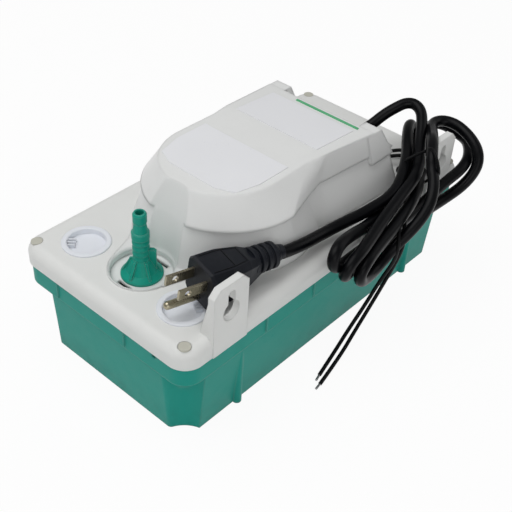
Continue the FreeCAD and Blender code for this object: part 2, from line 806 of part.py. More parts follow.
outline(wing, [(4.6, 78.0), (8.6, 75.0), (8.6, 87.6), (7.2, 89.0), (3.6, 89.0), (3.6, 82.0)])
wing_pad = pad(fitting, "wing_pad", wing, size("wing_thick", 3.0))
wing_pad.Midplane = True
wing_pair = fitting.newObject("PartDesign::PolarPattern", "wing_pair")
wing_pair.Originals = [wing_pad]
wing_pair.Axis = (profile, ["V_Axis"])
wing_pair.Angle = 360
wing_pair.Occurrences = 2
flare_rib = new_sketch(fitting, "flare_rib_plan", "XZ_Plane")
outline(flare_rib, [(5.0, 73.0), (11.4, 72.5), (11.4, 74.0), (8.0, 79.6), (6.6, 82.6), (5.0, 82.6)])
rib_pad = pad(fitting, "flare_rib_pad", flare_rib, size("flare_rib_thick", 1.4))
rib_pad.Midplane = True
rib_ring = fitting.newObject("PartDesign::PolarPattern", "flare_rib_ring")
rib_ring.Originals = [rib_pad]
rib_ring.Axis = (profile, ["V_Axis"])
rib_ring.Angle = 360
rib_ring.Occurrences = 6
fitting.Tip = rib_ring
at(fitting, fitting_x, 0, 0, Vector(0, 0, 1), -48.0)
keep(fitting, "discharge_fitting")
seat = less("seat_ring", rod("seat_outer", fitting_x, 0, fitting_low, chamber_radius - 0.02, 2.5),
            rod("seat_bore", fitting_x, 0, fitting_low - 1.0, size("seat_bore_radius", 2.7), 5.0))
keep(seat, "valve_seat")
ball = doc.addObject("Part::Sphere", "ball")
ball.Radius = 3.4
bind(ball, "Radius", size("ball_radius", 3.4))
keep(at(ball, fitting_x, 0, fitting_low + 4.66), "check_valve_ball")
oring = doc.addObject("Part::Torus", "oring")
oring.Radius1 = 6.72
oring.Radius2 = 0.82
bind(oring, "Radius1", size("oring_middle", 6.72))
bind(oring, "Radius2", size("oring_section", 0.82))
keep(at(oring, fitting_x, 0, 63.7), "fitting_oring")


# Routes of straight runs joined by tangent arcs

def route(points):
    edges = []
    start = points[0]
    radii = []
    for before, corner, after in zip(points, points[1:], points[2:]):
        inward = corner - before
        outward = after - corner
        turned = inward.getAngle(outward)
        reach = 0.45 * min(inward.Length, outward.Length)
        radius = reach / math.tan(turned / 2)
        inward.normalize()
        outward.normalize()
        across = (outward - inward).normalize()
        centre = corner + across * (radius / math.cos(turned / 2))
        first = corner - inward * reach
        last = corner + outward * reach
        edges.append(Part.LineSegment(start, first).toShape())
        edges.append(Part.Arc(first, centre - across * radius, last).toShape())
        start = last
        radii.append(radius)
    edges.append(Part.LineSegment(start, points[-1]).toShape())
    return Part.Wire(edges), radii


def tube(label, points, radius):
    wire, radii = route(points)
    ahead = (points[1] - points[0]).normalize()
    ring = Part.Wire([Part.Circle(points[0], ahead, number(radius)).toShape()])
    solid = wire.makePipeShell([ring], True, False)
    if solid.Volume < 0:
        solid.reverse()
    expected = math.pi * number(radius) ** 2 * wire.Length
    print(label, "length %.1f" % wire.Length, "radii", ["%.1f" % r for r in radii],
          "volume %.4f of section times length" % (solid.Volume / expected))
    feature = doc.addObject("Part::Feature", label + "_path")
    feature.Shape = solid
    feature.Placement = Placement()
    return feature


# Pump, shaft and discharge tube

hose_radius = size("hose_radius", 4.0)
pump_z = size("pump_outlet_z", 13.0)
hose_points = [
    Vector(-57.0, 0, 13.0),
    Vector(-99.0, 0, 13.0),
    Vector(-99.0, 0, 55.0),
]
hose_outer = tube("hose_outer", hose_points, hose_radius)
hose_inner = tube("hose_inner", hose_points, hose_bore)
keep(less("hose_wall", hose_outer, hose_inner), "discharge_tube")

shaft_radius = size("shaft_radius", 2.5)
shaft_low = size("shaft_low", 10.0)
shaft_high = size("shaft_high", 114.0)
keep(rod("shaft_rod", pump_x, 0, shaft_low, shaft_radius, shaft_high - shaft_low), "motor_shaft")

volute_low = size("volute_low", 6.0)
volute_top = size("volute_top", 22.0)
volute_radius = size("volute_radius", 22.0)
volute_chamber = size("volute_chamber", 19.0)
plate_thick = size("plate_thick", 2.0)
volute_shell = rod("volute_shell", pump_x, 0, volute_low + plate_thick, volute_radius,
                   volute_top - volute_low - plate_thick)
volute_spout = rod("volute_spout", -57.0, 0, pump_z, hose_radius + 0.6, 12.0, *ALONG_X)
volute_room = rod("volute_room", pump_x, 0, volute_low, volute_chamber, 12.0)
volute_neck = rod("volute_neck", pump_x, 0, volute_low, shaft_radius + 0.6, 20.0)
volute_exit = rod("volute_exit", -58.0, 0, pump_z, hose_bore, 16.0, *ALONG_X)
keep(less("volute_cast", joined("volute_body", volute_shell, volute_spout),
          volute_room, volute_neck, volute_exit), "volute")
keep(less("volute_plate_disc",
          rod("plate_disc", pump_x, 0, volute_low, volute_radius, plate_thick),
          rod("plate_eye", pump_x, 0, volute_low - 1.0, size("inlet_eye", 6.0), 4.0)), "volute_plate")

impeller_radius = size("impeller_radius", 16.5)
impeller = new_body("impeller_body")
profile = new_sketch(impeller, "impeller_profile", "XZ_Plane")
outline(profile, [
    (shaft_radius + 0.01, 0),
    (5.0, 0),
    (5.0, 4.6),
    (impeller_radius, 5.4),
    (impeller_radius, 6.6),
    (shaft_radius + 0.01, 6.6),
])
turn(impeller, "impeller_hub", profile)
vane = new_sketch(impeller, "vane_plan", offset=0.6)
outline(vane, [(4.4, -0.6), (10.0, 1.2), (impeller_radius - 0.3, 4.6), (impeller_radius - 0.9, 6.0),
               (9.4, 2.8), (4.4, 0.8)])
vane_pad = pad(impeller, "vane_pad", vane, 5.2)
around(impeller, "vanes", [vane_pad], 6)
keep(at(impeller, pump_x, 0, volute_low + plate_thick + 1.0), "impeller")

column_wall = size("column_wall", 2.5)
column = new_body("column_body")
profile = new_sketch(column, "column_profile", "XZ_Plane")
outline(profile, [
    (column_outer - column_wall, volute_top),
    (column_outer, volute_top),
    (column_outer, deck_top - deck_skin - 3.0),
    (18.0, deck_top - deck_skin - 3.0),
    (18.0, deck_top - deck_skin),
    (column_outer - column_wall, deck_top - deck_skin),
])
turn(column, "column_turned", profile)
window = new_sketch(column, "column_window", "XZ_Plane", 20.0)
box_outline(window, -3.0, 3.0, 50.0, 58.0)
pocket(column, "column_vent", window, 40.0)
keep(at(column, pump_x, 0, 0), "pump_column")

# Motor

stator_low = size("stator_low", 84.0)
stator_high = size("stator_high", 100.0)
stator_bore = size("stator_bore", 14.3)
rotor_radius = size("rotor_radius", 13.9)
stator_left = size("stator_left", -56.0)
stator_right = size("stator_right", 14.0)
stator_half = size("stator_half", 25.0)
window_left = size("window_left", -9.0)
leg_left = size("leg_left", 2.5)
coil_half = size("coil_half", 13.0)
bolt_y = size("bolt_y", 19.0)
bolt_radius = size("bolt_radius", 1.7)
bracket_thick = size("bracket_thick", 3.4)
bearing_radius = size("bearing_radius", 6.0)

stack = block("stack", stator_left, stator_right, -stator_half, stator_half, stator_low, stator_high)
stack_bore = rod("stack_bore", pump_x, 0, stator_low - 1.0, stator_bore, 20.0)
stack_window = block("stack_window", window_left, leg_left, -coil_half, coil_half, stator_low - 1.0,
                     stator_high + 1.0)
stack_bolt_a = rod("stack_bolt_a", pump_x, bolt_y, stator_low - 1.0, bolt_radius + run_gap, 20.0)
stack_bolt_b = rod("stack_bolt_b", pump_x, -bolt_y, stator_low - 1.0, bolt_radius + run_gap, 20.0)
keep(less("stack_cut", stack, stack_bore, stack_window, stack_bolt_a, stack_bolt_b), "stator_core")

bobbin_outer = block("bobbin_outer", leg_left - 1.0, stator_right + 1.0, -coil_half, coil_half,
                     stator_low - 1.0, stator_high + 1.0)
bobbin_leg = block("bobbin_leg", leg_left, stator_right, -20.0, 20.0, stator_low, stator_high)
flange_low = block("bobbin_flange_low", -7.5, 23.0, -coil_half, -coil_half + 1.2, 77.0, 107.0)
flange_high = block("bobbin_flange_high", -7.5, 23.0, coil_half - 1.2, coil_half, 77.0, 107.0)
keep(less("bobbin_cut", joined("bobbin_body", bobbin_outer, flange_low, flange_high), bobbin_leg),
     "bobbin")
coil_block = block("coil_block", -6.5, 22.0, -coil_half + 1.2, coil_half - 1.2, 78.0, 106.0)
coil_room = block("coil_room", leg_left - 1.0, stator_right + 1.0, -coil_half, coil_half,
                  stator_low - 1.0, stator_high + 1.0)
keep(less("coil_cut", coil_block, coil_room), "coil")

rotor_disc = rod("rotor_disc", pump_x, 0, stator_low, rotor_radius, stator_high - stator_low)
rotor_hole = rod("rotor_hole", pump_x, 0, stator_low - 1.0, shaft_radius + 0.01, 20.0)
keep(less("rotor_cut", rotor_disc, rotor_hole), "rotor")


def bracket(label, plate_low, foot_low):
    bar = block(label + "_bar", pump_x - 9.0, pump_x + 9.0, -stator_half, stator_half,
                plate_low, plate_low + bracket_thick)
    solids = [bar]
    if foot_low is not None:
        solids.append(block(label + "_foot_a", pump_x - 9.0, pump_x + 9.0, -stator_half - 6.0,
                            -stator_half + 2.5, foot_low, foot_low + 2.0))
        solids.append(block(label + "_foot_b", pump_x - 9.0, pump_x + 9.0, stator_half - 2.5,
                            stator_half + 6.0, foot_low, foot_low + 2.0))
        solids.append(block(label + "_leg_a", pump_x - 9.0, pump_x + 9.0, -stator_half,
                            -stator_half + 2.5, foot_low, plate_low + 1.0))
        solids.append(block(label + "_leg_b", pump_x - 9.0, pump_x + 9.0, stator_half - 2.5,
                            stator_half, foot_low, plate_low + 1.0))
    else:
        solids.append(block(label + "_pad", pump_x - 5.0, pump_x + 5.0, -10.0, 10.0,
                            plate_low + bracket_thick - 1.0, plate_low + bracket_thick + 1.0))
    return less(label + "_cut", joined(label + "_body", *solids),
                rod(label + "_eye", pump_x, 0, plate_low - 5.0, bearing_radius + 0.02, 20.0),
                rod(label + "_bolt_a", pump_x, bolt_y, plate_low - 5.0, bolt_radius + run_gap, 20.0),
                rod(label + "_bolt_b", pump_x, -bolt_y, plate_low - 5.0, bolt_radius + run_gap, 20.0))


keep(bracket("lower_bracket", stator_low - bracket_thick, deck_top), "lower_bracket")
keep(bracket("upper_bracket", stator_high, None), "upper_bracket")
for label, bearing_low in (("lower_bearing", stator_low - 4.4), ("upper_bearing", stator_high + 0.4)):
    outer = rod(label + "_outer", pump_x, 0, bearing_low, bearing_radius, 4.0)
    inner = rod(label + "_inner", pump_x, 0, bearing_low - 1.0, shaft_radius + run_gap, 6.0)
    keep(less(label + "_ring", outer, inner), label)

bolts = []
for side_y in (-1, 1):
    name = "bolt_a" if side_y < 0 else "bolt_b"
    shank = rod(name + "_shank", pump_x, side_y * bolt_y, stator_low - bracket_thick, bolt_radius,
                stator_high - stator_low + 2.0 * bracket_thick)
    head = doc.addObject("Part::Prism", name + "_head")
    head.Polygon = 6
    head.Circumradius = 3.3
    head.Height = 2.6
    at(head, pump_x, side_y * bolt_y, stator_high + bracket_thick)
    nut = doc.addObject("Part::Prism", name + "_nut")
    nut.Polygon = 6
    nut.Circumradius = 3.3
    nut.Height = 2.4
    at(nut, pump_x, side_y * bolt_y, stator_low - bracket_thick - 2.4)
    bolts.append(joined(name, shank, head, nut))
keep(group("bolt_set", *bolts), "stator_bolts")

fan_radius = size("fan_radius", 24.0)
fan = new_body("fan_body")
profile = new_sketch(fan, "fan_profile", "XZ_Plane")
outline(profile, [
    (shaft_radius + 0.01, 0),
    (5.5, 0),
    (5.5, 5.0),
    (4.5, 6.0),
    (shaft_radius + 0.01, 6.0),
])
turn(fan, "fan_hub", profile)
blade = new_sketch(fan, "blade_root", "YZ_Plane", 4.6)
outline(blade, [(-2.6, 0.6), (-1.6, 0.6), (2.6, 5.4), (1.6, 5.4)])
blade_pad = pad(fan, "blade_pad", blade, fan_radius - 4.6)
blades = fan.newObject("PartDesign::PolarPattern", "blades")
blades.Originals = [blade_pad]
blades.Axis = (profile, ["V_Axis"])
blades.Angle = 360
blades.Occurrences = 7
fan.Tip = blades
keep(at(fan, pump_x, 0, size("fan_z", 107.8)), "cooling_fan")

# Float, its arm and bracket

float_x = size("float_hinge_x", 22.0)
float_z = size("float_hinge_z", 50.0)
pin_radius = size("pin_radius", 2.0)
cheek_in = size("cheek_in", 6.0)
cheek_out = size("cheek_out", 8.2)
hub_half = size("hub_half", 5.6)
hub_radius = size("hub_radius", 4.6)
arm_half = size("arm_half", 4.0)
arm_thick = size("arm_thick", 3.0)
float_left = size("float_left", 52.0)
float_right = size("float_right", 112.0)
float_low = size("float_low", 16.0)
float_high = size("float_high", 44.0)
float_half = size("float_half", 35.0)

hinge = new_body("float_bracket_body")
cheek = new_sketch(hinge, "cheek_plan", "XZ_Plane", cheek_in)
outline(cheek, [
    (float_x - 8.0, deck_top - deck_skin),
    (float_x - 4.0, float_z - 3.0),
    (float_x - 2.0, float_z - 5.0),
    (float_x + 2.0, float_z - 5.0),
    (float_x + 4.0, float_z - 3.0),
    (float_x + 8.0, deck_top - deck_skin),
])
cheek_pad = pad(hinge, "cheek_pad", cheek, cheek_out - cheek_in)
other_cheek = mirror(hinge, "other_cheek", [cheek_pad], "XZ_Plane")
base = new_sketch(hinge, "hinge_base", offset=deck_top - deck_skin - 2.2)
box_outline(base, float_x - 11.0, float_x + 11.0, -12.0, 12.0)
pad(hinge, "hinge_plate", base, 2.2)
eye = circle(new_sketch(hinge, "hinge_eye", "XZ_Plane", 15.0), float_x, float_z, pin_radius + 0.02)
pocket(hinge, "hinge_eye_cut", eye, 30.0)
keep(hinge, "float_bracket")
keep(rod("pin_rod", float_x, -cheek_out - 1.0, float_z, pin_radius, 2 * cheek_out + 2.0, *ALONG_Y),
     "float_pin")

arm_hub = rod("arm_hub", float_x, -hub_half, float_z, hub_radius, 2 * hub_half, *ALONG_Y)
arm_bar = block("arm_bar", float_x, float_right - 4.0, -arm_half, arm_half, float_z - arm_thick, float_z)
arm_wide = block("arm_wide", rod_x - 4.0, rod_x + 4.0, -9.0, 9.0, float_z - arm_thick, float_z)
arm_post = block("arm_post", float_left + 8.0, float_right - 8.0, -arm_half, arm_half, float_high,
                 float_z - 1.0)
arm_eye = rod("arm_eye", float_x, -10.0, float_z, pin_radius + run_gap, 20.0, *ALONG_Y)
keep(less("arm_cut", joined("arm_body", arm_hub, arm_bar, arm_wide, arm_post), arm_eye), "float_arm")

floater = new_body("float_body")
plan = new_sketch(floater, "float_plan", offset=float_low)
box_outline(plan, float_left, float_right, -float_half, float_half)
float_pad = pad(floater, "float_pad", plan, float_high - float_low)
soften(floater, "float_round", float_pad, size("float_round", 4.0),
       lambda edge: edge.BoundBox.ZLength > 10 or edge.BoundBox.ZMin < 16.01)
keep(floater, "float")

# Switches above the float arm

rod_low = size("rod_low", 50.6)
rod_high = size("rod_high", 80.7)
switch_low = size("switch_low", 88.0)
switch_high = size("switch_high", 103.0)
lever_x = size("lever_hinge_x", 28.0)
lever_z = size("lever_hinge_z", 83.4)
lever_thick = size("lever_thick", 0.9)
for label, side in (("run", 1), ("safety", -1)):
    push = new_body(label + "_rod_body")
    profile = new_sketch(push, label + "_rod_profile", "XZ_Plane")
    outline(profile, [
        (0, rod_low),
        (0.5, rod_low),
        (rod_radius, rod_low + 1.6),
        (rod_radius, rod_high - 1.6),
        (0.5, rod_high),
        (0, rod_high),
    ])
    turn(push, label + "_rod_turned", profile)
    keep(at(push, rod_x, side * rod_y, 0), label + "_push_rod")
    inner = 1.1
    outer = 10.6
    case = block(label + "_case", 26.0, 50.0, inner if side > 0 else -outer,
                 outer if side > 0 else -inner, switch_low, switch_high)
    lug = block(label + "_lug", 26.0, 30.2, 8.2 if side > 0 else -outer,
                outer if side > 0 else -8.2, lever_z - 1.8, switch_low + 1.0)
    button = rod(label + "_button", 33.0, side * rod_y, 85.6, 1.2, 4.0)
    pivot = rod(label + "_pivot", lever_x, 3.4 if side > 0 else -10.0, lever_z, 0.8, 6.6, *ALONG_Y)
    keep(joined(label + "_switch_body", case, lug, button, pivot), label + "_switch")
    leaf = block(label + "_leaf", 26.6, 44.0, side * rod_y - 1.9, side * rod_y + 1.9,
                 lever_z - 1.5 - lever_thick, lever_z - 1.5)
    curl = rod(label + "_curl", lever_x, side * rod_y - 1.9, lever_z, 1.7, 3.8, *ALONG_Y)
    curl_eye = rod(label + "_curl_eye", lever_x, side * rod_y - 5.0, lever_z, 0.85, 10.0, *ALONG_Y)
    keep(less(label + "_lever_cut", joined(label + "_lever_body", leaf, curl), curl_eye),
         label + "_lever")
holder = block("holder_plate", 27.0, 58.0, -1.0, 1.0, deck_top, switch_high)
holder_foot = block("holder_foot", 48.0, 58.0, -12.0, 12.0, deck_top, deck_top + 2.0)
keep(joined("holder_body", holder, holder_foot), "switch_bracket")

# Cord gland, power cord, hank and leads

gland_outer = rod("gland_outer", cord_x - 8.0, cord_y, cord_z, gland_body, 8.0, *ALONG_X)
gland_ring = rod("gland_ring", cord_x - 1.6, cord_y, cord_z, gland_flange, 3.0, *ALONG_X)
gland_hole = rod("gland_hole", cord_x - 9.0, cord_y, cord_z, cord_radius, 12.0, *ALONG_X)
keep(less("gland_cut", joined("gland_body_solid", gland_outer, gland_ring), gland_hole), "cord_gland")

riser_points = [
    Vector(69.0, -10.0, 88.0),
    Vector(84.0, -10.0, 88.0),
    Vector(96.0, -12.5, 96.0),
    Vector(106.0, -18.5, 104.5),
    Vector(114.0, -28.0, 108.5),
    Vector(117.5, -37.5, 104.5),
    Vector(113.0, -45.0, 97.0),
    Vector(106.0, -49.0, 89.0),
]
keep(tube("cord_riser", riser_points, cord_radius), "power_cord_riser")

inner_strands = size("inner_strands", 6.6)
outer_strands = size("outer_strands", 6.3)
lower_strands = size("lower_strands", 7.2)
fold_radius = size("fold_radius", 8.6)
hank_end = Vector(139.0, -58.0, 90.0)
hank_inner = [
    hank_end,
    Vector(122.0, -46.5, 89.5),
    Vector(95.0, -51.0, 85.0),
    Vector(62.0, -66.5, 84.5),
    Vector(30.0, -75.0, 84.5),
    Vector(4.0, -79.5, 84.0),
    Vector(-15.0, -81.0, 82.0),
]
hank_outer = [
    hank_end,
    Vector(124.0, -49.0, 88.5),
    Vector(98.5, -56.8, 85.0),
    Vector(84.5, -55.3, 88.0),
    Vector(74.5, -66.0, 88.5),
    Vector(54.0, -84.0, 83.0),
    Vector(26.0, -90.5, 80.5),
    Vector(-13.0, -91.0, 78.0),
]
hank_lower = [
    hank_end,
    Vector(127.0, -76.0, 85.0),
    Vector(104.0, -83.0, 80.0),
    Vector(82.0, -82.5, 75.5),
    Vector(60.0, -81.5, 65.5),
    Vector(36.0, -81.0, 58.0),
    Vector(10.0, -81.0, 57.0),
    Vector(-9.0, -82.5, 60.0),
]
folds = []
for name, middle in (
        ("fold_upper", hank_inner[-1]),
        ("fold_outer", hank_outer[-1]),
        ("fold_middle", Vector(-15.0, -85.0, 69.0)),
        ("fold_lower", hank_lower[-1]),
        ("fold_rear", hank_end)):
    fold = doc.addObject("Part::Sphere", name)
    fold.Radius = number(fold_radius)
    bind(fold, "Radius", fold_radius)
    folds.append(at(fold, middle.x, middle.y, middle.z))
keep(joined("hank_body", tube("hank_inner", hank_inner, inner_strands),
            tube("hank_outer", hank_outer, outer_strands),
            tube("hank_lower", hank_lower, lower_strands), *folds), "cord_hank")

tie_middle = (hank_inner[2] + hank_outer[2]) * 0.5
tie_along = (hank_inner[3] - hank_inner[2]).normalize()


def oval_band(label, middle, along, half_wide, half_high, thick, wide):
    """A flat band round a bundle, an oval ring square to a line through a point."""
    side = Vector(0, 0, 1).cross(along).normalize()
    rise = along.cross(side)
    start = middle - along * (wide / 2.0)
    plates = []
    for grown in (thick, 0.0):
        oval = Part.Ellipse(start + side * (half_wide + grown), start + rise * (half_high + grown), start)
        plates.append(Part.Face(Part.Wire(oval.toShape())).extrude(along * wide))
    feature = doc.addObject("Part::Feature", label + "_ring")
    feature.Shape = plates[0].cut(plates[1])
    feature.Placement = Placement()
    return feature


keep(oval_band("cord_tie", tie_middle, tie_along, 10.8, 8.0, 1.2, 3.0), "cord_tie")

# Plug, built about the middle of its face and then turned to where it lies

plug_front = Vector(-98.6, -45.9, 94.5)
plug_back = Vector(0.975, -0.20, -0.10).normalize()
plug_up = Vector(0.09, -0.09, 0.99)
plug_side = plug_up.cross(plug_back).normalize()
plug_up = plug_back.cross(plug_side).normalize()
plug_place = Placement(plug_front, Rotation(plug_back, plug_side, plug_up, "XZY"))
plug_half = size("plug_half", 12.6)
plug_above = size("plug_above", 9.0)
plug_below = size("plug_below", 15.8)
plug_long = size("plug_long", 38.0)
plug = new_body("plug_shell")


def plug_section(name, offset, half, below, above, cut):
    section = new_sketch(plug, name, "YZ_Plane", offset)
    return outline(section, [
        (half, cut - below),
        (half, above - cut),
        (half - cut, above),
        (cut - half, above),
        (-half, above - cut),
        (-half, cut - below),
        (cut - half, -below),
        (half - cut, -below),
    ])


plug_sections = [
    plug_section("plug_face", 0, plug_half - 1.0, plug_below - 1.0, plug_above - 1.0, 3.0),
    plug_section("plug_shoulder", 1.4, plug_half, plug_below, plug_above, 3.4),
    plug_section("plug_grip", 14.0, plug_half, plug_below - 1.0, plug_above, 3.4),
    plug_section("plug_taper", 27.0, plug_half - 2.5, plug_below - 4.0, plug_above - 0.8, 3.4),
    plug_section("plug_tail", plug_long, 6.4, 8.0, 5.0, 2.6),
]
loft(plug, "plug_loft", plug_sections)
plug.Placement = plug_place
keep(plug, "plug_body")

relief = new_body("relief_body")
profile = new_sketch(relief, "relief_profile", "XY_Plane")
relief_long = size("relief_long", 18.0)
ribs = [(0, cord_radius), (0, 6.0)]
for step in range(4):
    ribs.append((2.6 + 4.2 * step, 6.0 - 0.45 * step))
    ribs.append((2.6 + 4.2 * step, 4.6 - 0.3 * step))
    ribs.append((4.2 + 4.2 * step, 4.6 - 0.3 * step))
    ribs.append((4.2 + 4.2 * step, 5.6 - 0.45 * step))
ribs += [(relief_long, 4.2), (relief_long, cord_radius)]
outline(profile, ribs)
relief_turn = turn(relief, "relief_turned", profile)
relief_turn.ReferenceAxis = (profile, ["H_Axis"])
relief.Placement = plug_place.multiply(Placement(Vector(38.0, 0, -1.5), Rotation()))
keep(relief, "plug_strain_relief")

blade_long = size("blade_long", 17.6)
blade_wide = size("blade_wide", 6.35)
blade_thick = size("blade_thick", 1.52)
blade_gap = size("blade_gap", 12.7)
blades = []
for side in (-1, 1):
    name = "blade_%s" % ("a" if side < 0 else "b")
    flat = block(name + "_flat", -blade_long, 0.0 * blade_long, side * blade_gap / 2.0 - blade_thick / 2.0,
                 side * blade_gap / 2.0 + blade_thick / 2.0, -blade_wide / 2.0, blade_wide / 2.0)
    hole = rod(name + "_hole", -11.8, side * 6.35 - 3.0, 0, 1.95, 6.0, *ALONG_Y)
    blades.append(less(name, flat, hole))
blade_set = group("blade_set", *blades)
blade_set.Placement = plug_place
keep(blade_set, "plug_blades")
ground = rod("ground_rod", -18.6, 0, -11.9, size("ground_radius", 2.4), 18.6, *ALONG_X)
ground_end = doc.addObject("Part::Sphere", "ground_end")
ground_end.Radius = 2.4
bind(ground_end, "Radius", Size(2.4, "sizes.ground_radius"))
at(ground_end, -18.6, 0, -11.9)
ground_set = joined("ground_set", ground, ground_end)
ground_set.Placement = plug_place
keep(ground_set, "plug_ground_pin")

relief_end = plug_place.multVec(Vector(56.0, 0, -1.5))
run_points = [
    relief_end,
    relief_end + plug_back * 12.0,
    Vector(-6.0, -58.5, 80.0),
    Vector(20.0, -62.0, 79.0),
    Vector(44.0, -62.5, 79.5),
    Vector(60.0, -60.5, 81.0),
    Vector(70.0, -59.5, 83.5),
]
keep(tube("cord_run", run_points, cord_radius), "power_cord_run")

lead_a_points = [
    Vector(69.0, -27.0, 80.0),
    Vector(86.0, -27.0, 80.0),
    Vector(98.0, -32.0, 80.6),
    Vector(104.0, -40.0, 82.5),
    Vector(104.0, -48.0, 85.0),
]
lead_b_points = [
    Vector(69.0, -31.5, 80.0),
    Vector(84.0, -31.5, 80.0),
    Vector(94.0, -37.0, 81.0),
    Vector(98.0, -46.0, 84.0),
]
keep(tube("lead_a_upper", lead_a_points, lead_radius), "lead_a_upper")
keep(tube("lead_b_upper", lead_b_points, lead_radius), "lead_b_upper")
lead_a_tail = [
    Vector(28.0, -88.0, 78.0),
    Vector(28.0, -91.0, 64.0),
    Vector(27.5, -90.0, 46.0),
    Vector(26.5, -84.0, 28.0),
    Vector(22.0, -78.0, 11.0),
    Vector(8.0, -77.0, 1.9),
    Vector(-12.0, -80.5, 1.5),
    Vector(-34.0, -86.5, 1.5),
]
lead_b_tail = [
    Vector(33.5, -88.0, 78.0),
    Vector(33.0, -91.6, 64.0),
    Vector(32.0, -91.0, 46.0),
    Vector(30.0, -85.0, 28.0),
    Vector(24.0, -82.0, 10.0),
    Vector(8.0, -83.0, 1.9),
    Vector(-14.0, -87.5, 1.5),
    Vector(-39.5, -91.5, 1.5),
]
keep(tube("lead_a_lower", lead_a_tail, lead_radius), "lead_a_lower")
keep(tube("lead_b_lower", lead_b_tail, lead_radius), "lead_b_lower")
tips = []
for name, points in (("tip_a", lead_a_tail), ("tip_b", lead_b_tail)):
    along = (points[-1] - points[-2]).normalize()
    tip = doc.addObject("Part::Feature", name)
    tip.Shape = Part.makeCylinder(0.75, 5.0, points[-1], along)
    tip.Placement = Placement()
    tips.append(tip)
keep(group("tip_set", *tips), "lead_tips")


doc.recompute()
failed = [item.Name for item in doc.Objects if "Invalid" in item.State or "Error" in item.State]
if failed:
    raise RuntimeError("not rebuilt: %s" % ", ".join(failed))
for piece in pieces:
    if piece.Shape.isNull() or not piece.Shape.isValid():
        raise RuntimeError("no valid shape: " + piece.Label)
for piece in pieces:
    piece.Shape.exportStep("parts/%s.step" % piece.Label)
print("pieces", len(pieces))
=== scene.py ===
from math import cos, pi, sin

import bmesh
import bpy
from bpy.props import FloatProperty, FloatVectorProperty, PointerProperty
from bpy.types import Operator, Panel, PropertyGroup
from mathutils import Matrix, Vector


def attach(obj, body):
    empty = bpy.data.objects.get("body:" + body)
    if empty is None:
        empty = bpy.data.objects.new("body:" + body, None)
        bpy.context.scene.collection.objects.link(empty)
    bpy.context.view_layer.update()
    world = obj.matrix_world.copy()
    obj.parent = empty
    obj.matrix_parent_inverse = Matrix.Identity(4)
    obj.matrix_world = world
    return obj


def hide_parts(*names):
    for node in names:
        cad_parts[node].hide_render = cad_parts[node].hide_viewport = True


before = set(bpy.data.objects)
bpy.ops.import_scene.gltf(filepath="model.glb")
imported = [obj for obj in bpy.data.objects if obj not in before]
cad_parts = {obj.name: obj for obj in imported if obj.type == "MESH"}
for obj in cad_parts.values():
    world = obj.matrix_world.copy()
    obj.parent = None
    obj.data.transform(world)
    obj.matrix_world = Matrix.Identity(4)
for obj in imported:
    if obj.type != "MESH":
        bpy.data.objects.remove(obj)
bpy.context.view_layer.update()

bl_info = {
    "name": "Condensate pump dressing",
    "version": (1, 0, 0),
    "blender": (4, 5, 0),
    "location": "3D View > Sidebar > Pump",
    "description": "Cords, mouldings, metal parts and studio for a tank-type condensate pump",
    "category": "Object",
}


def tone(red, green, blue):
    """Scene-linear colour from an 8-bit display colour."""
    parts = [value / 255 for value in (red, green, blue)]
    return tuple(v / 12.92 if v <= 0.04045 else ((v + 0.055) / 1.055) ** 2.4 for v in parts)


def colour_choice(name, text, default):
    return FloatVectorProperty(name=name, description=text, subtype="COLOR", size=3,
                               min=0, max=1, default=default)


def length_choice(name, text, default):
    return FloatProperty(name=name, description=text, unit="LENGTH", subtype="DISTANCE",
                         min=0, default=default, precision=5)


# Sizes and colours that a user would change

class PumpCordSettings(PropertyGroup):
    """Sizes and colours of the mains cord, its plug and tie, and the switch leads"""
    mains_diameter: length_choice("Mains cord", "Diameter over the mains cord's jacket", 0.0074)
    lead_diameter: length_choice("Switch lead", "Diameter over one switch lead", 0.0025)
    tie_diameter: length_choice("Tie", "Diameter of the coated wire tie", 0.0019)
    jacket: colour_choice("Jacket", "Colour of the mains cord's jacket", tone(3, 4, 7))
    plug: colour_choice("Plug", "Colour of the plug and its strain relief", tone(19, 22, 29))
    lead: colour_choice("Lead", "Colour of the switch leads", tone(7, 8, 10))
    prongs: colour_choice("Prongs", "Colour of the plug's plated prongs", tone(182, 174, 150))
    strands: colour_choice("Strands", "Colour of the leads' bare strands", tone(150, 150, 152))


class PumpShellSettings(PropertyGroup):
    """Colours and surface of the moulded parts"""
    tank: colour_choice("Tank", "Colour of the tank", tone(2, 147, 133))
    deck: colour_choice("Deck cover", "Colour of the deck cover", tone(229, 230, 228))
    housing: colour_choice("Motor housing", "Colour of the motor housing", tone(231, 232, 231))
    fitting: colour_choice("Fitting", "Colour of the discharge fitting", tone(5, 150, 130))
    cap: colour_choice("Inlet caps", "Colour of the inlet caps", tone(232, 235, 241))
    cover: colour_choice("Screw covers", "Colour of the corner screws' covers", tone(196, 195, 183))
    label: colour_choice("Label film", "Colour of the two bare labels", tone(236, 237, 240))
    strip: colour_choice("Trim strip", "Colour of the trim strip", tone(78, 178, 122))
    grain: length_choice("Grain", "Size of the moulded surface's grain", 0.0006)
    edge: length_choice("Edge softness", "Width over which a moulded edge catches light", 0.0007)


class PumpInsideSettings(PropertyGroup):
    """Colours of the parts under the housing and in the tank"""
    steel: colour_choice("Steel", "Colour of the ground steel", tone(205, 206, 208))
    copper: colour_choice("Copper", "Colour of the enamelled winding", tone(176, 92, 48))
    bronze: colour_choice("Bronze", "Colour of the sintered bearings", tone(186, 140, 82))
    black: colour_choice("Black plastic", "Colour of the black inner plastic", tone(52, 53, 56))
    foam: colour_choice("Float", "Colour of the closed foam of the float", tone(232, 231, 224))
    hose: colour_choice("Hose", "Colour of the clear inner hose", tone(215, 220, 215))
    seal: colour_choice("Seals", "Colour of the seal ring and the valve's ball", tone(40, 40, 42))


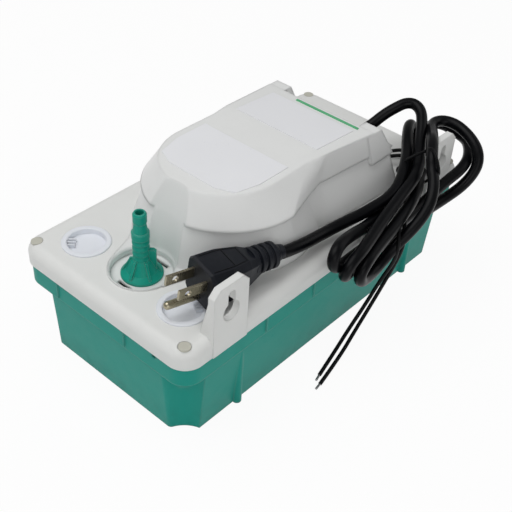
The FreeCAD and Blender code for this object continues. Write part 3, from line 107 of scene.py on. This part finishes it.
class PumpStageSettings(PropertyGroup):
    """The studio"""
    key_power: FloatProperty(name="Key lamp", description="Power of the large lamp overhead",
                             min=0, default=8.6, unit="POWER")
    fill_power: FloatProperty(name="Fill lamp", description="Power of the lamp beside the camera",
                              min=0, default=3.6, unit="POWER")
    surround: FloatProperty(name="Surround", description="Light from all round",
                            min=0, default=0.28)
    floor: colour_choice("Floor", "Colour of the floor", (0.9, 0.9, 0.9))
    floor_side: length_choice("Floor side", "Side of the square floor", 6.0)


# Shader maths as expressions

MIX_FIRST, MIX_SECOND, MIX_COLOUR = 6, 7, 2  # the Mix node's sockets for colours
EDGE_GAIN = 9.0
CORE_SHEET = 0.0013
WINDING_PITCH = 0.0007
FOAM_CELL = 1 / 900
NOISE_ROUGHNESS = 0.5


class Signal:
    """A number or colour that varies over a surface, kept as a shader socket"""

    def __init__(self, nodes, socket):
        self.nodes = nodes
        self.socket = socket

    def maths(self, operation, *values):
        return self.nodes.node("ShaderNodeMath", {"operation": operation}, dict(enumerate(values)))

    def __add__(self, other):
        return self.maths("ADD", self, other)

    __radd__ = __add__

    def __sub__(self, other):
        return self.maths("SUBTRACT", self, other)

    def __rsub__(self, other):
        return self.maths("SUBTRACT", other, self)

    def __mul__(self, other):
        return self.maths("MULTIPLY", self, other)

    __rmul__ = __mul__

    def limited(self):
        return self.nodes.node("ShaderNodeClamp", {}, {"Value": self})

    def waves(self, pitch):
        """Even waves from 0 to 1, one for each pitch."""
        phase = self * (2 * pi / pitch)
        return phase.maths("SINE", phase) * 0.5 + 0.5

    def between(self, low, high):
        """0 below low, 1 above high, and a ramp from one to the other."""
        return self.nodes.node("ShaderNodeMapRange", {"interpolation_type": "SMOOTHSTEP"},
                               {"Value": self, "From Min": low, "From Max": high})


class Nodes:
    """A node tree, filled through one method"""

    def __init__(self, tree):
        self.tree = tree

    def node(self, kind, settings=None, values=None, output=0):
        made = self.tree.nodes.new(kind)
        for name, value in (settings or {}).items():
            setattr(made, name, value)
        for name, value in (values or {}).items():
            if isinstance(value, Signal):
                self.tree.links.new(value.socket, made.inputs[name])
            else:
                made.inputs[name].default_value = value
        return Signal(self, made.outputs[output])

    def end_in(self, surface, output):
        """Makes a surface the one that the tree gives."""
        self.tree.links.new(surface.socket, self.tree.nodes[output].inputs["Surface"])


class Finish(Nodes):
    """A material whose shader takes its colour, gloss and relief from expressions"""

    def __init__(self, name, **fixed):
        self.material = bpy.data.materials.new(name)
        self.material.use_nodes = True
        super().__init__(self.material.node_tree)
        self.shader = self.tree.nodes["Principled BSDF"]
        for socket, value in fixed.items():
            self.shader.inputs[socket.replace("_", " ")].default_value = value
        self.where = self.node("ShaderNodeTexCoord", output="Object")

    def noise(self, size, detail, stretch=(1, 1, 1)):
        """Soft clouds about size metres across, squeezed along an axis by stretch."""
        where = self.where
        if stretch != (1, 1, 1):
            where = self.node("ShaderNodeVectorMath", {"operation": "MULTIPLY"},
                              {0: where, 1: stretch})
        return self.node("ShaderNodeTexNoise", {}, {"Vector": where, "Scale": 1 / size,
                                                    "Detail": detail, "Roughness": NOISE_ROUGHNESS})

    def cells(self, size):
        """Distance from the middle of each cell, for cells about size metres across."""
        return self.node("ShaderNodeTexVoronoi", {}, {"Vector": self.where, "Scale": 1 / size},
                         output="Distance")

    def part_of_place(self, axis):
        return self.node("ShaderNodeSeparateXYZ", {}, {0: self.where}, output=axis)

    def mix(self, first, second, factor):
        """Colour between first and second."""
        ends = [end if isinstance(end, Signal) else (*end, 1) for end in (first, second)]
        return self.node("ShaderNodeMix", {"data_type": "RGBA"},
                         {0: factor, MIX_FIRST: ends[0], MIX_SECOND: ends[1]}, output=MIX_COLOUR)

    def edges(self, width):
        """A softened normal, and a mask of the edges that it softens."""
        soft = self.node("ShaderNodeBevel", {"samples": 4}, {"Radius": width})
        true = self.node("ShaderNodeNewGeometry", output="True Normal")
        same = self.node("ShaderNodeVectorMath", {"operation": "DOT_PRODUCT"},
                         {0: soft, 1: true}, output="Value")
        return soft, ((1 - same) * EDGE_GAIN).limited()

    def relief(self, height, depth, strength, normal=None):
        """Bumps of that depth in metres, on top of a normal where one is given."""
        values = {"Height": height, "Distance": depth, "Strength": strength}
        if normal:
            values["Normal"] = normal
        return self.node("ShaderNodeBump", {}, values)

    def paint(self, **channels):
        """Links the expressions to the shader's sockets."""
        for name, value in channels.items():
            self.tree.links.new(value.socket, self.shader.inputs[name.replace("_", " ")])
        return self.material


def darker(colour, share):
    return tuple(value * share for value in colour)


def paler(colour, share):
    return tuple(value + (1 - value) * share for value in colour)


def moulded(name, colour, gloss, grain, edge, wear, depth=0.00004, low_darkening=0.0):
    """Injection-moulded plastic: sparked grain, faint flow marks, scuffs and paler edges."""
    skin = Finish(name, IOR=1.49, Specular_IOR_Level=0.2)
    soft, rim = skin.edges(edge)
    flow = skin.noise(0.05, 3, (1, 1, 2.5))
    cloud = skin.noise(0.009, 4)
    sparks = skin.noise(grain, 2)
    scuffs = skin.noise(0.0035, 3, (1, 6, 1)).between(0.62, 0.8)
    scuffs = scuffs * skin.noise(0.03, 2).between(0.5, 0.62)
    base = skin.mix(darker(colour, 0.95), paler(colour, 0.005), flow)
    base = skin.mix(base, darker(colour, 0.9), cloud.between(0.5, 0.9) * 0.35)
    base = skin.mix(base, paler(colour, 0.3), rim * wear)
    # Darker in noisy patches towards the bottom of the part, fading out between 2 mm and 22 mm up
    if low_darkening:
        height = skin.part_of_place("Z")
        blotches = (1 - height.between(0.002, 0.022)) * skin.noise(0.012, 4).between(0.35, 0.7)
        base = skin.mix(base, darker(colour, 0.72), blotches * low_darkening)
    rough = gloss + (cloud - 0.5) * 0.12 + scuffs * 0.14 - rim * 0.06
    marks = sparks * 0.7 + scuffs * 0.5
    return skin.paint(Base_Color=base, Roughness=rough,
                      Normal=skin.relief(marks, depth, 0.8, soft))


def metal(name, colour, gloss, along=(1, 1, 18), pitch=0.0004, pits=0.0):
    """Worked metal with fine lines along one way, dull patches and brighter edges."""
    skin = Finish(name, Metallic=1.0)
    soft, rim = skin.edges(0.00025)
    lines = skin.noise(pitch * 18, 3, along)
    patches = skin.noise(0.006, 4)
    base = skin.mix(darker(colour, 0.74), colour, patches * 0.6 + lines * 0.4)
    base = skin.mix(base, paler(colour, 0.35), rim * 0.6)
    height = lines
    if pits:
        grains = skin.cells(pits)
        base = skin.mix(base, darker(colour, 0.45), 1 - grains.between(0.1, 0.45))
        height = lines * 0.2 + grains
    rough = gloss + (patches - 0.5) * 0.2 + (lines - 0.5) * 0.12
    return skin.paint(Base_Color=base, Roughness=rough,
                      Normal=skin.relief(height, 0.00002, 0.7, soft))


def laminated(name, colour):
    """A stack of thin sheets on edge, with a rust bloom and oil-dark seams."""
    skin = Finish(name, Metallic=0.85)
    soft, rim = skin.edges(0.0003)
    seam = skin.part_of_place("Z").waves(CORE_SHEET).between(0.0, 0.35)
    bloom = skin.noise(0.005, 5).between(0.55, 0.75)
    base = skin.mix(darker(colour, 0.4), colour, seam)
    base = skin.mix(base, tone(120, 84, 62), bloom * 0.35)
    base = skin.mix(base, paler(colour, 0.3), rim * 0.5)
    rough = 0.42 + bloom * 0.3 - seam * 0.06
    return skin.paint(Base_Color=base, Roughness=rough,
                      Normal=skin.relief(seam, 0.00006, 0.9, soft))


def wound(name, colour):
    """Enamelled wire in close turns."""
    skin = Finish(name, Metallic=0.55, Coat_Roughness=0.15)
    turn = skin.part_of_place("Z").waves(WINDING_PITCH)
    tint = skin.noise(0.004, 3)
    base = skin.mix(darker(colour, 0.45), colour, turn.between(0.05, 0.6))
    base = skin.mix(base, paler(colour, 0.15), tint * 0.4)
    rough = 0.3 + tint * 0.15
    coat = 0.4 + tint * 0.3
    return skin.paint(Base_Color=base, Roughness=rough, Coat_Weight=coat,
                      Normal=skin.relief(turn, 0.0001, 0.8))


def foam(name, colour):
    """Closed-cell foam with open pores at its cut skin and a water line."""
    skin = Finish(name, IOR=1.4)
    cells = skin.cells(FOAM_CELL)
    line = skin.part_of_place("Z").between(0.012, 0.03)
    tint = skin.noise(0.02, 4)
    base = skin.mix(darker(colour, 0.7), colour, cells.between(0.1, 0.5))
    base = skin.mix(tone(190, 180, 150), base, line * 0.5 + 0.5)
    base = skin.mix(base, darker(colour, 0.85), tint * 0.3)
    return skin.paint(Base_Color=base, Roughness=0.75 + tint * 0.15,
                      Normal=skin.relief(cells, 0.00025, 0.8))


def film(name, colour, gloss=0.3):
    """Vinyl film, laid by hand: slight waves, a few trapped specks and a worn edge."""
    skin = Finish(name, IOR=1.5, Coat_Roughness=0.12)
    soft, rim = skin.edges(0.0003)
    waves = skin.noise(0.022, 2)
    specks = skin.noise(0.0022, 1).between(0.74, 0.8)
    base = skin.mix(darker(colour, 0.97), paler(colour, 0.04), waves)
    base = skin.mix(base, darker(colour, 0.86), specks * 0.4 + rim * 0.2)
    rough = gloss + waves * 0.12
    marks = waves * 1.6 + specks * 0.2
    return skin.paint(Base_Color=base, Roughness=rough, Coat_Weight=waves * 0.12,
                      Normal=skin.relief(marks, 0.00016, 0.6, soft))


def jacket(name, colour, gloss=0.28):
    """Extruded vinyl: fine marks, dust in patches, rubbed spots that shine."""
    skin = Finish(name, IOR=1.5, Specular_IOR_Level=0.13)
    blotches = skin.noise(0.007, 4)
    marks = skin.noise(0.0009, 2)
    rubbed = skin.noise(0.018, 2).between(0.52, 0.68)
    base = skin.mix(darker(colour, 0.8), paler(colour, 0.002), blotches)
    rough = gloss + blotches * 0.14 - rubbed * 0.09
    return skin.paint(Base_Color=base, Roughness=rough, Normal=skin.relief(marks, 0.00003, 0.6))


def rubber(name, colour, gloss):
    """Moulded rubber with a soft bloom."""
    skin = Finish(name, IOR=1.5, Specular_IOR_Level=0.2)
    soft, rim = skin.edges(0.0005)
    bloom = skin.noise(0.005, 5)
    grain = skin.noise(0.0005, 2)
    base = skin.mix(colour, paler(colour, 0.004), bloom.between(0.45, 0.75))
    base = skin.mix(base, paler(colour, 0.03), rim * 0.5)
    return skin.paint(Base_Color=base, Roughness=gloss + bloom * 0.2,
                      Normal=skin.relief(grain, 0.00004, 0.7, soft))


def clear_hose(name, colour):
    """Milky clear vinyl."""
    skin = Finish(name, IOR=1.5, Transmission_Weight=0.35, Coat_Roughness=0.1)
    cloud = skin.noise(0.006, 3)
    base = skin.mix(darker(colour, 0.8), colour, cloud)
    return skin.paint(Base_Color=base, Roughness=0.2 + cloud * 0.2,
                      Normal=skin.relief(cloud, 0.0001, 0.4))


def cover(material, *nodes):
    """Gives carried-over CAD nodes a material."""
    for node in nodes:
        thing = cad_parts[node]
        thing.data.materials.clear()
        thing.data.materials.append(material)
        for slot in thing.material_slots:
            slot.material = material


# Shapes

CABLE_ROUNDNESS = 7
CABLE_STEPS = 14
RIDGE_ROUNDNESS = 2


def mm(*points):
    """Points given in millimetres."""
    return [Vector(point) / 1000 for point in points]


def placed(name, data, material, place=None):
    """Puts a mesh or curve in the scene."""
    data.materials.append(material)
    piece = bpy.data.objects.new(name, data)
    if place:
        piece.matrix_world = place
    bpy.context.collection.objects.link(piece)
    return piece


def mesh_from(name, solid):
    mesh = bpy.data.meshes.new(name)
    solid.to_mesh(mesh)
    solid.free()
    return mesh


def round_line(name, radius, roundness, capped=True):
    """A curve that is drawn as a round tube."""
    line = bpy.data.curves.new(name, "CURVE")
    line.dimensions = "3D"
    line.bevel_depth = radius
    line.bevel_resolution = roundness
    line.use_fill_caps = capped
    return line


def add_spline(line, kind, points):
    spline = line.splines.new(kind)
    spline.points.add(len(points) - 1)
    for control, point in zip(spline.points, points):
        control.co = (*point, 1)
    return spline


def cable(name, points, diameter, material, closed=False):
    """A round cable along one smooth line through space."""
    line = round_line(name, diameter / 2, CABLE_ROUNDNESS, not closed)
    line.resolution_u = CABLE_STEPS
    spline = add_spline(line, "NURBS", points)
    if closed:
        spline.use_cyclic_u = True
    else:
        spline.use_endpoint_u = True
    spline.order_u = 3
    return placed(name, line, material)


def ridges(name, lines, place, radius, material):
    """Thin raised lines on a face."""
    curve = round_line(name, radius, RIDGE_ROUNDNESS)
    for points in lines:
        add_spline(curve, "POLY", points)
    return placed(name, curve, material, place)


def turned(name, profile, place, material, steps=44):
    """A solid of revolution about the local X axis; profile holds (along, radius)."""
    solid = bmesh.new()
    angles = [2 * pi * step / steps for step in range(steps)]
    rings = [[solid.verts.new((along, radius * cos(angle), radius * sin(angle)))
              for angle in angles] for along, radius in profile]
    for near, far in zip(rings, rings[1:]):
        for i in range(steps):
            after = (i + 1) % steps
            solid.faces.new((near[i], near[after], far[after], far[i]))
    solid.faces.new(rings[0])
    solid.faces.new(list(reversed(rings[-1])))
    bmesh.ops.recalc_face_normals(solid, faces=solid.faces)
    return placed(name, mesh_from(name, solid), material, place)


def block(name, size, place, material):
    """A box about its own middle."""
    solid = bmesh.new()
    bmesh.ops.create_cube(solid, size=1)
    bmesh.ops.scale(solid, vec=size, verts=solid.verts)
    return placed(name, mesh_from(name, solid), material, place)


def frame_at(origin, ahead, upward):
    """Places local X along ahead and local Z near upward."""
    x_axis = Vector(ahead).normalized()
    y_axis = Vector(upward).cross(x_axis).normalized()
    z_axis = x_axis.cross(y_axis)
    turn = Matrix((x_axis, y_axis, z_axis)).transposed()
    return Matrix.Translation(Vector(origin)) @ turn.to_4x4()


# The strip along the rear edge of the housing's sloping top, in metres

STRIP_SIZE = (0.0019, 0.050, 0.0006)
STRIP_PLACE = frame_at((0.0532, -0.0085, 0.11741), (1, 0, -0.0657), (0, 0, 1))

# The plug's strain relief in metres, and the lines on its grip, which are drawn darker than the
# plug as painted shade of its grooves. Local X runs back from the face

PLUG_PLACE = frame_at((-0.0986, -0.0459, 0.0945), (0.975, -0.20, -0.10), (0.09, -0.09, 0.99))
GROOVE = 0.0066
RIM = 0.0003
RING_STEP = 0.0046
RING_TAPER = 0.00015
RELIEF_RINGS = [(0.0325 + RING_STEP * ring, 0.0084 - RING_TAPER * ring) for ring in range(4)]
RELIEF_PROFILE = [(0.030, GROOVE)]
for start, outer in RELIEF_RINGS:
    RELIEF_PROFILE += [(start, GROOVE), (start + 0.0002, outer - RIM), (start + 0.0005, outer),
                       (start + 0.0025, outer), (start + 0.0028, outer - RIM),
                       (start + 0.0030, GROOVE)]
RELIEF_PROFILE += [(0.0505, 0.0062), (0.0520, 0.0052), (0.0560, 0.0041)]
RIDGE_RADIUS = 0.0003
PLUG_RIDGES = (
    mm((3, -7.6, 9), (14, -7.6, 9), (17, -7.4, 8.8), (26, -5.8, 8.25), (26, 5.8, 8.25),
       (17, 7.4, 8.8), (14, 7.6, 9), (3, 7.6, 9)),
    mm((17, -7.2, 8.8), (17, 7.2, 8.8)),
)

# The mains cord's route: up from the housing, round the hank and on to the plug

RISER = mm((69, -10, 88), (84, -10, 88), (92, -17, 96), (100.5, -22, 104), (107.5, -26, 108),
           (113.5, -29, 110.2), (117, -34, 110.2), (115.5, -40.5, 108), (108.5, -46.5, 104.5),
           (99, -52.5, 99.5))
UNDER_TIE = mm((88, -60, 96), (77, -67.5, 95), (64.5, -72.5, 94), (52.5, -74.5, 92), (38, -77, 90),
               (25, -79.5, 88.5), (14, -82, 87), (3.5, -84.5, 86), (-8, -87, 84.7),
               (-15.5, -87.5, 83.2), (-21, -87.5, 79.5), (-21, -86, 73.5), (-14.5, -83.5, 69))
OUTER_TURN = mm((-2, -79.5, 65.5), (14, -79, 64.5), (36, -77.5, 64.5), (58, -77, 64.5),
                (80, -78, 65), (96.5, -80, 66.5), (107.5, -83.5, 71), (115, -86, 77.5),
                (120.5, -86.5, 85), (124, -83, 92), (126.5, -75.5, 97), (129, -66, 99.5),
                (130, -58.5, 100.3), (127.5, -52, 100.8), (121.5, -48.7, 101), (113.5, -51, 101.7),
                (102, -59, 104.5), (87.5, -68, 109), (76, -75.5, 106.5), (72, -79.5, 100.5),
                (66.5, -85, 97.5), (61.5, -88.5, 93.5), (56, -91, 89), (50.5, -91.5, 84),
                (44, -91, 79), (37.5, -89.5, 74), (30, -86.5, 67), (21, -85.5, 61),
                (9, -86.5, 58.5))
INNER_TURN = mm((-4.5, -89, 62), (-10.5, -90.5, 66.5), (-12, -91, 73), (-6.5, -90.5, 77.6),
                (4, -88.2, 79), (15, -86.5, 80.5), (27, -85, 82), (39.5, -82.5, 83),
                (51.5, -80, 84), (63.5, -76, 85), (76, -70, 85.5), (88.5, -63.5, 86),
                (101.5, -56.5, 86.5), (114, -48.5, 87), (126, -42, 87), (134.5, -38, 87.3),
                (140.5, -39.3, 87.8), (142.5, -45.5, 88), (141.3, -52, 88), (140.5, -58, 87.5),
                (138.5, -65.5, 87), (132.5, -72, 86), (121, -78.5, 85), (108.5, -80.5, 83),
                (94, -78.5, 79.5), (76, -78.5, 76), (56, -79, 74), (36, -79.5, 73.5),
                (16, -79.5, 74), (0, -79, 74.5))
LAST_TURN = mm((-16, -80, 75.3), (-24.5, -81, 79), (-27, -81, 85.5), (-22.5, -79.5, 90.5),
               (-13.5, -77, 90), (3, -74, 85.5), (15, -72.5, 82), (28, -70.5, 80), (41.5, -68, 79),
               (56.5, -65, 79), (69.5, -61.5, 79), (82.5, -56.5, 79.5), (93.5, -51, 80.5),
               (104, -45, 80.5), (113, -40, 80.8), (119.7, -35.7, 83), (122.7, -32.7, 87.5),
               (120.3, -31.8, 92.5), (112.5, -34.5, 94.8))
TO_PLUG = mm((98, -43.5, 94.5), (84.5, -53, 94), (72, -60, 93), (61, -65.5, 91.5),
             (50.5, -68.5, 89.5), (41, -69, 88), (31.5, -67.5, 87), (20.5, -65.5, 85.5),
             (7, -61.5, 83.5), (-8, -58.7, 82.5), (-32, -59.4, 86.2), (-44, -57, 87.4))
MAINS_ROUTE = RISER + UNDER_TIE + OUTER_TURN + INNER_TURN + LAST_TURN + TO_PLUG

# The tie's closed loop about the cords, in front of the rear tab

TIE_LOOP = mm((71.5, -57, 92), (73.5, -60, 98.3), (77, -63.5, 101.5), (79.5, -68.5, 105.5),
              (78, -73, 111.3), (73.5, -79.5, 110), (71, -84.5, 104), (72.5, -84.5, 98),
              (77, -77, 90), (80, -70, 81), (83, -62, 76.5), (85, -54, 75.8), (82, -49.5, 79.5),
              (75.5, -53, 87))

# The two switch leads

LEAD_A = mm((69, -27, 80), (86, -27, 80), (98, -32, 80.6), (104, -41, 83), (101, -55, 81.5),
            (78, -64, 80), (54, -75, 79), (35, -84, 79.5), (28, -90.5, 71), (29, -89, 58),
            (28, -82.5, 40), (18, -79, 20), (4, -78.6, 8.5), (-12, -81.3, 3), (-34, -86.5, 1.5))
LEAD_B = mm((69, -31.5, 80), (84, -31.5, 80), (94, -37, 81), (98.5, -45.5, 83), (94, -56.5, 80.5),
            (78, -67.5, 79.5), (60, -75, 79), (41, -84, 78.5), (33, -91, 71), (33, -89, 58),
            (31, -84, 38), (21, -81, 18), (5, -82.3, 7.5), (-14, -86.4, 2.6), (-39.5, -91.5, 1.5))


# Operators

class PUMP_OT_cords(Operator):
    """Mains cord in its hank with tie, plug and strain relief, and the switch leads"""
    bl_idname = "pump.cords"
    bl_label = "Cords"

    def execute(self, context):
        sizes = context.scene.pump_cords
        vinyl = jacket("cord vinyl", sizes.jacket[:])
        thin_vinyl = jacket("lead vinyl", sizes.lead[:], 0.4)
        mains = cable("mains_cord", MAINS_ROUTE, sizes.mains_diameter, vinyl)
        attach(mains, "base")
        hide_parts("power_cord_riser", "cord_hank", "power_cord_run")
        tie = cable("wire_tie", TIE_LOOP, sizes.tie_diameter, thin_vinyl, closed=True)
        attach(tie, "base")
        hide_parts("cord_tie")
        dark = rubber("plug rubber", sizes.plug[:], 0.34)
        cover(dark, "plug_body")
        relief = turned("plug_relief", RELIEF_PROFILE, PLUG_PLACE, dark)
        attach(relief, "base")
        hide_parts("plug_strain_relief")
        # Raised lines in the darker lead vinyl: painted shade of the grooves on the plug's grip
        trim = ridges("plug_groove_shade", PLUG_RIDGES, PLUG_PLACE, RIDGE_RADIUS, thin_vinyl)
        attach(trim, "base")
        for name, route, long in (("a", LEAD_A, 0.251), ("b", LEAD_B, 0.242)):
            lead = cable("switch_lead_" + name, route, sizes.lead_diameter, thin_vinyl)
            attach(lead, "base")
            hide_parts("lead_%s_upper" % name, "lead_%s_lower" % name)
        return {"FINISHED"}


class PUMP_OT_mouldings(Operator):
    """Finishes of the moulded parts and bare labels, and the strip on the housing"""
    bl_idname = "pump.mouldings"
    bl_label = "Mouldings"

    def execute(self, context):
        shell = context.scene.pump_shell
        cover(moulded("tank plastic", shell.tank[:], 0.46, shell.grain, shell.edge * 2.4, 0.18,
                      low_darkening=0.5), "tank")
        cover(moulded("deck plastic", shell.deck[:], 0.38, shell.grain, shell.edge * 1.4, 0.2),
              "deck_cover")
        cover(moulded("housing plastic", shell.housing[:], 0.32, shell.grain, shell.edge * 4, 0.1,
                      0.00003), "motor_housing")
        cover(moulded("cap plastic", shell.cap[:], 0.34, shell.grain, shell.edge, 0.2, 0.00003),
              "inlet_cap_front", "inlet_cap_back")
        cover(moulded("screw covers", shell.cover[:], 0.5, shell.grain, shell.edge * 0.5, 0.2),
              "corner_screws")
        cover(moulded("fitting plastic", shell.fitting[:], 0.4, shell.grain, 0.0005, 0.45),
              "discharge_fitting")
        cover(film("label film", shell.label[:]), "front_label", "rear_label")
        strip = block("strip", STRIP_SIZE, STRIP_PLACE, film("strip film", shell.strip[:], 0.24))
        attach(strip, "base")
        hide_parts("trim_strip")
        return {"FINISHED"}


class PUMP_OT_cord_ends(Operator):
    """Finishes of the cord's gland, the plug's prongs and the leads' bare ends"""
    bl_idname = "pump.cord_ends"
    bl_label = "Cord ends"

    def execute(self, context):
        sizes = context.scene.pump_cords
        cover(rubber("gland rubber", sizes.jacket[:], 0.4), "cord_gland")
        cover(metal("prong plate", sizes.prongs[:], 0.28, (18, 1, 1)),
              "plug_blades", "plug_ground_pin")
        cover(metal("tinned strands", sizes.strands[:], 0.35, (1, 18, 18), 0.0003), "lead_tips")
        return {"FINISHED"}


class PUMP_OT_inside(Operator):
    """Finishes of the motor, pump, float and switches"""
    bl_idname = "pump.inside"
    bl_label = "Inside"

    def execute(self, context):
        inside = context.scene.pump_inside
        steel = inside.steel[:]
        cover(metal("ground steel", steel, 0.24), "motor_shaft", "float_pin")
        cover(metal("screw steel", steel, 0.3, (1, 18, 1)), "stator_bolts")
        cover(metal("stamped alloy", darker(steel, 0.85), 0.36, (1, 18, 1)),
              "lower_bracket", "upper_bracket", "switch_bracket", "run_lever", "safety_lever")
        cover(laminated("core sheets", darker(steel, 0.6)), "stator_core", "rotor")
        cover(wound("winding", inside.copper[:]), "coil")
        cover(metal("sintered bronze", inside.bronze[:], 0.45, (1, 1, 1), 0.0004, 0.0006),
              "lower_bearing", "upper_bearing")
        cover(moulded("black plastic", inside.black[:], 0.44, 0.0006, 0.0005, 0.2),
              "volute", "volute_plate", "impeller", "pump_column", "float_bracket", "float_arm",
              "bobbin", "cooling_fan", "run_push_rod", "safety_push_rod")
        cover(moulded("switch plastic", darker(inside.black[:], 0.5), 0.3, 0.0005, 0.0004, 0.25),
              "run_switch", "safety_switch", "valve_seat")
        cover(rubber("seal rubber", inside.seal[:], 0.6), "fitting_oring", "check_valve_ball")
        cover(foam("float foam", inside.foam[:]), "float")
        cover(clear_hose("clear hose", inside.hose[:]), "discharge_tube")
        return {"FINISHED"}


# The camera, fitted to the edges of the deck and tank in the photograph

SENSOR_WIDTH = 36.0
FOCAL_LENGTH = 64.213
CAMERA_PLACE = (-0.36118, -0.30497, 0.41413)
CAMERA_TURN = Matrix(((0.67042, 0.44758, -0.59178),
                      (-0.74064, 0.45157, -0.49753),
                      (0.04454, 0.77185, 0.63424)))

# Lamps and floor

LIT_MIDDLE = Vector((0, 0, 0.05))
BACK_SHARE = 0.3
WHITE = (1, 1, 1, 1)
FLOOR_DROP = 0.0002
FLOOR_GLOW = 0.94


class PUMP_OT_stage(Operator):
    """Camera, lamps, surround and floor"""
    bl_idname = "pump.stage"
    bl_label = "Stage"

    def execute(self, context):
        studio = context.scene.pump_stage
        scene = context.scene
        scene.view_settings.view_transform = "Standard"
        lens = bpy.data.cameras.new("camera")
        lens.sensor_width = SENSOR_WIDTH
        lens.lens = FOCAL_LENGTH
        lens.clip_start = 0.01
        camera = bpy.data.objects.new("camera", lens)
        scene.collection.objects.link(camera)
        camera.matrix_world = Matrix.Translation(CAMERA_PLACE) @ CAMERA_TURN.to_4x4()
        scene.camera = camera
        for name, side, power, place in (
                ("key", 1.1, studio.key_power, (-0.35, 0.25, 1.15)),
                ("fill", 0.9, studio.fill_power, (-0.7, -1.05, 0.55)),
                ("back", 0.7, studio.fill_power * BACK_SHARE, (0.9, -0.5, 0.7))):
            lamp = bpy.data.lights.new(name, "AREA")
            lamp.size = side
            lamp.energy = power
            stand = bpy.data.objects.new(name, lamp)
            stand.location = place
            towards = LIT_MIDDLE - Vector(place)
            stand.rotation_euler = towards.to_track_quat("-Z", "Y").to_euler()
            scene.collection.objects.link(stand)
        self.surround(studio.surround)
        self.floor(studio)
        return {"FINISHED"}

    def surround(self, strength):
        """An even white surround, full white where the camera sees it."""
        world = bpy.data.worlds.new("surround")
        bpy.context.scene.world = world
        world.use_nodes = True
        world.node_tree.nodes.remove(world.node_tree.nodes["Background"])
        nodes = Nodes(world.node_tree)
        even = nodes.node("ShaderNodeBackground", {}, {"Color": WHITE, "Strength": strength})
        full = nodes.node("ShaderNodeBackground", {}, {"Color": WHITE})
        seen = nodes.node("ShaderNodeLightPath", output="Is Camera Ray")
        nodes.end_in(nodes.node("ShaderNodeMixShader", {}, {0: seen, 1: even, 2: full}),
                     "World Output")

    def floor(self, studio):
        """A pale floor that keeps the object's shadow."""
        sheet = bmesh.new()
        bmesh.ops.create_grid(sheet, x_segments=6, y_segments=6, size=studio.floor_side / 2)
        paper = Finish("floor paper")
        diffuse = paper.node("ShaderNodeBsdfDiffuse", {}, {"Color": (*studio.floor, 1)})
        bright = paper.node("ShaderNodeEmission", {}, {"Strength": 1.0})
        camera = paper.node("ShaderNodeLightPath", output="Is Camera Ray")
        glossy = paper.node("ShaderNodeLightPath", output="Is Glossy Ray")
        clear = paper.node("ShaderNodeLightPath", output="Is Transmission Ray")
        seen = (camera + glossy + clear).limited() * FLOOR_GLOW
        paper.end_in(paper.node("ShaderNodeMixShader", {}, {0: seen, 1: diffuse, 2: bright}),
                     "Material Output")
        floor = placed("studio_floor", mesh_from("studio_floor", sheet), paper.material,
                       Matrix.Translation((0, 0, -FLOOR_DROP)))


class PUMP_PT_sidebar(Panel):
    """Shows a button for each step, and the pump's settings"""
    bl_idname = "PUMP_PT_sidebar"
    bl_label = "Condensate pump"
    bl_space_type = "VIEW_3D"
    bl_region_type = "UI"
    bl_category = "Pump"

    def draw(self, context):
        for step in STEPS:
            self.layout.operator(step.bl_idname)
        for group in ("pump_cords", "pump_shell", "pump_inside", "pump_stage"):
            box = self.layout.box()
            settings = getattr(context.scene, group)
            for name in settings.bl_rna.properties.keys():
                if name not in ("rna_type", "name"):
                    box.prop(settings, name)


SETTINGS = {
    "pump_cords": PumpCordSettings,
    "pump_shell": PumpShellSettings,
    "pump_inside": PumpInsideSettings,
    "pump_stage": PumpStageSettings,
}
STEPS = (PUMP_OT_cords, PUMP_OT_mouldings, PUMP_OT_cord_ends, PUMP_OT_inside, PUMP_OT_stage)


def register():
    for kind in (*SETTINGS.values(), *STEPS, PUMP_PT_sidebar):
        bpy.utils.register_class(kind)
    for name, kind in SETTINGS.items():
        setattr(bpy.types.Scene, name, PointerProperty(type=kind))


def unregister():
    for name in SETTINGS:
        delattr(bpy.types.Scene, name)
    for kind in reversed((*SETTINGS.values(), *STEPS, PUMP_PT_sidebar)):
        bpy.utils.unregister_class(kind)


def main():
    register()
    bpy.ops.pump.stage()
    bpy.ops.pump.cords()
    bpy.ops.pump.mouldings()
    bpy.ops.pump.cord_ends()
    bpy.ops.pump.inside()


if __name__ == "__main__":
    main()
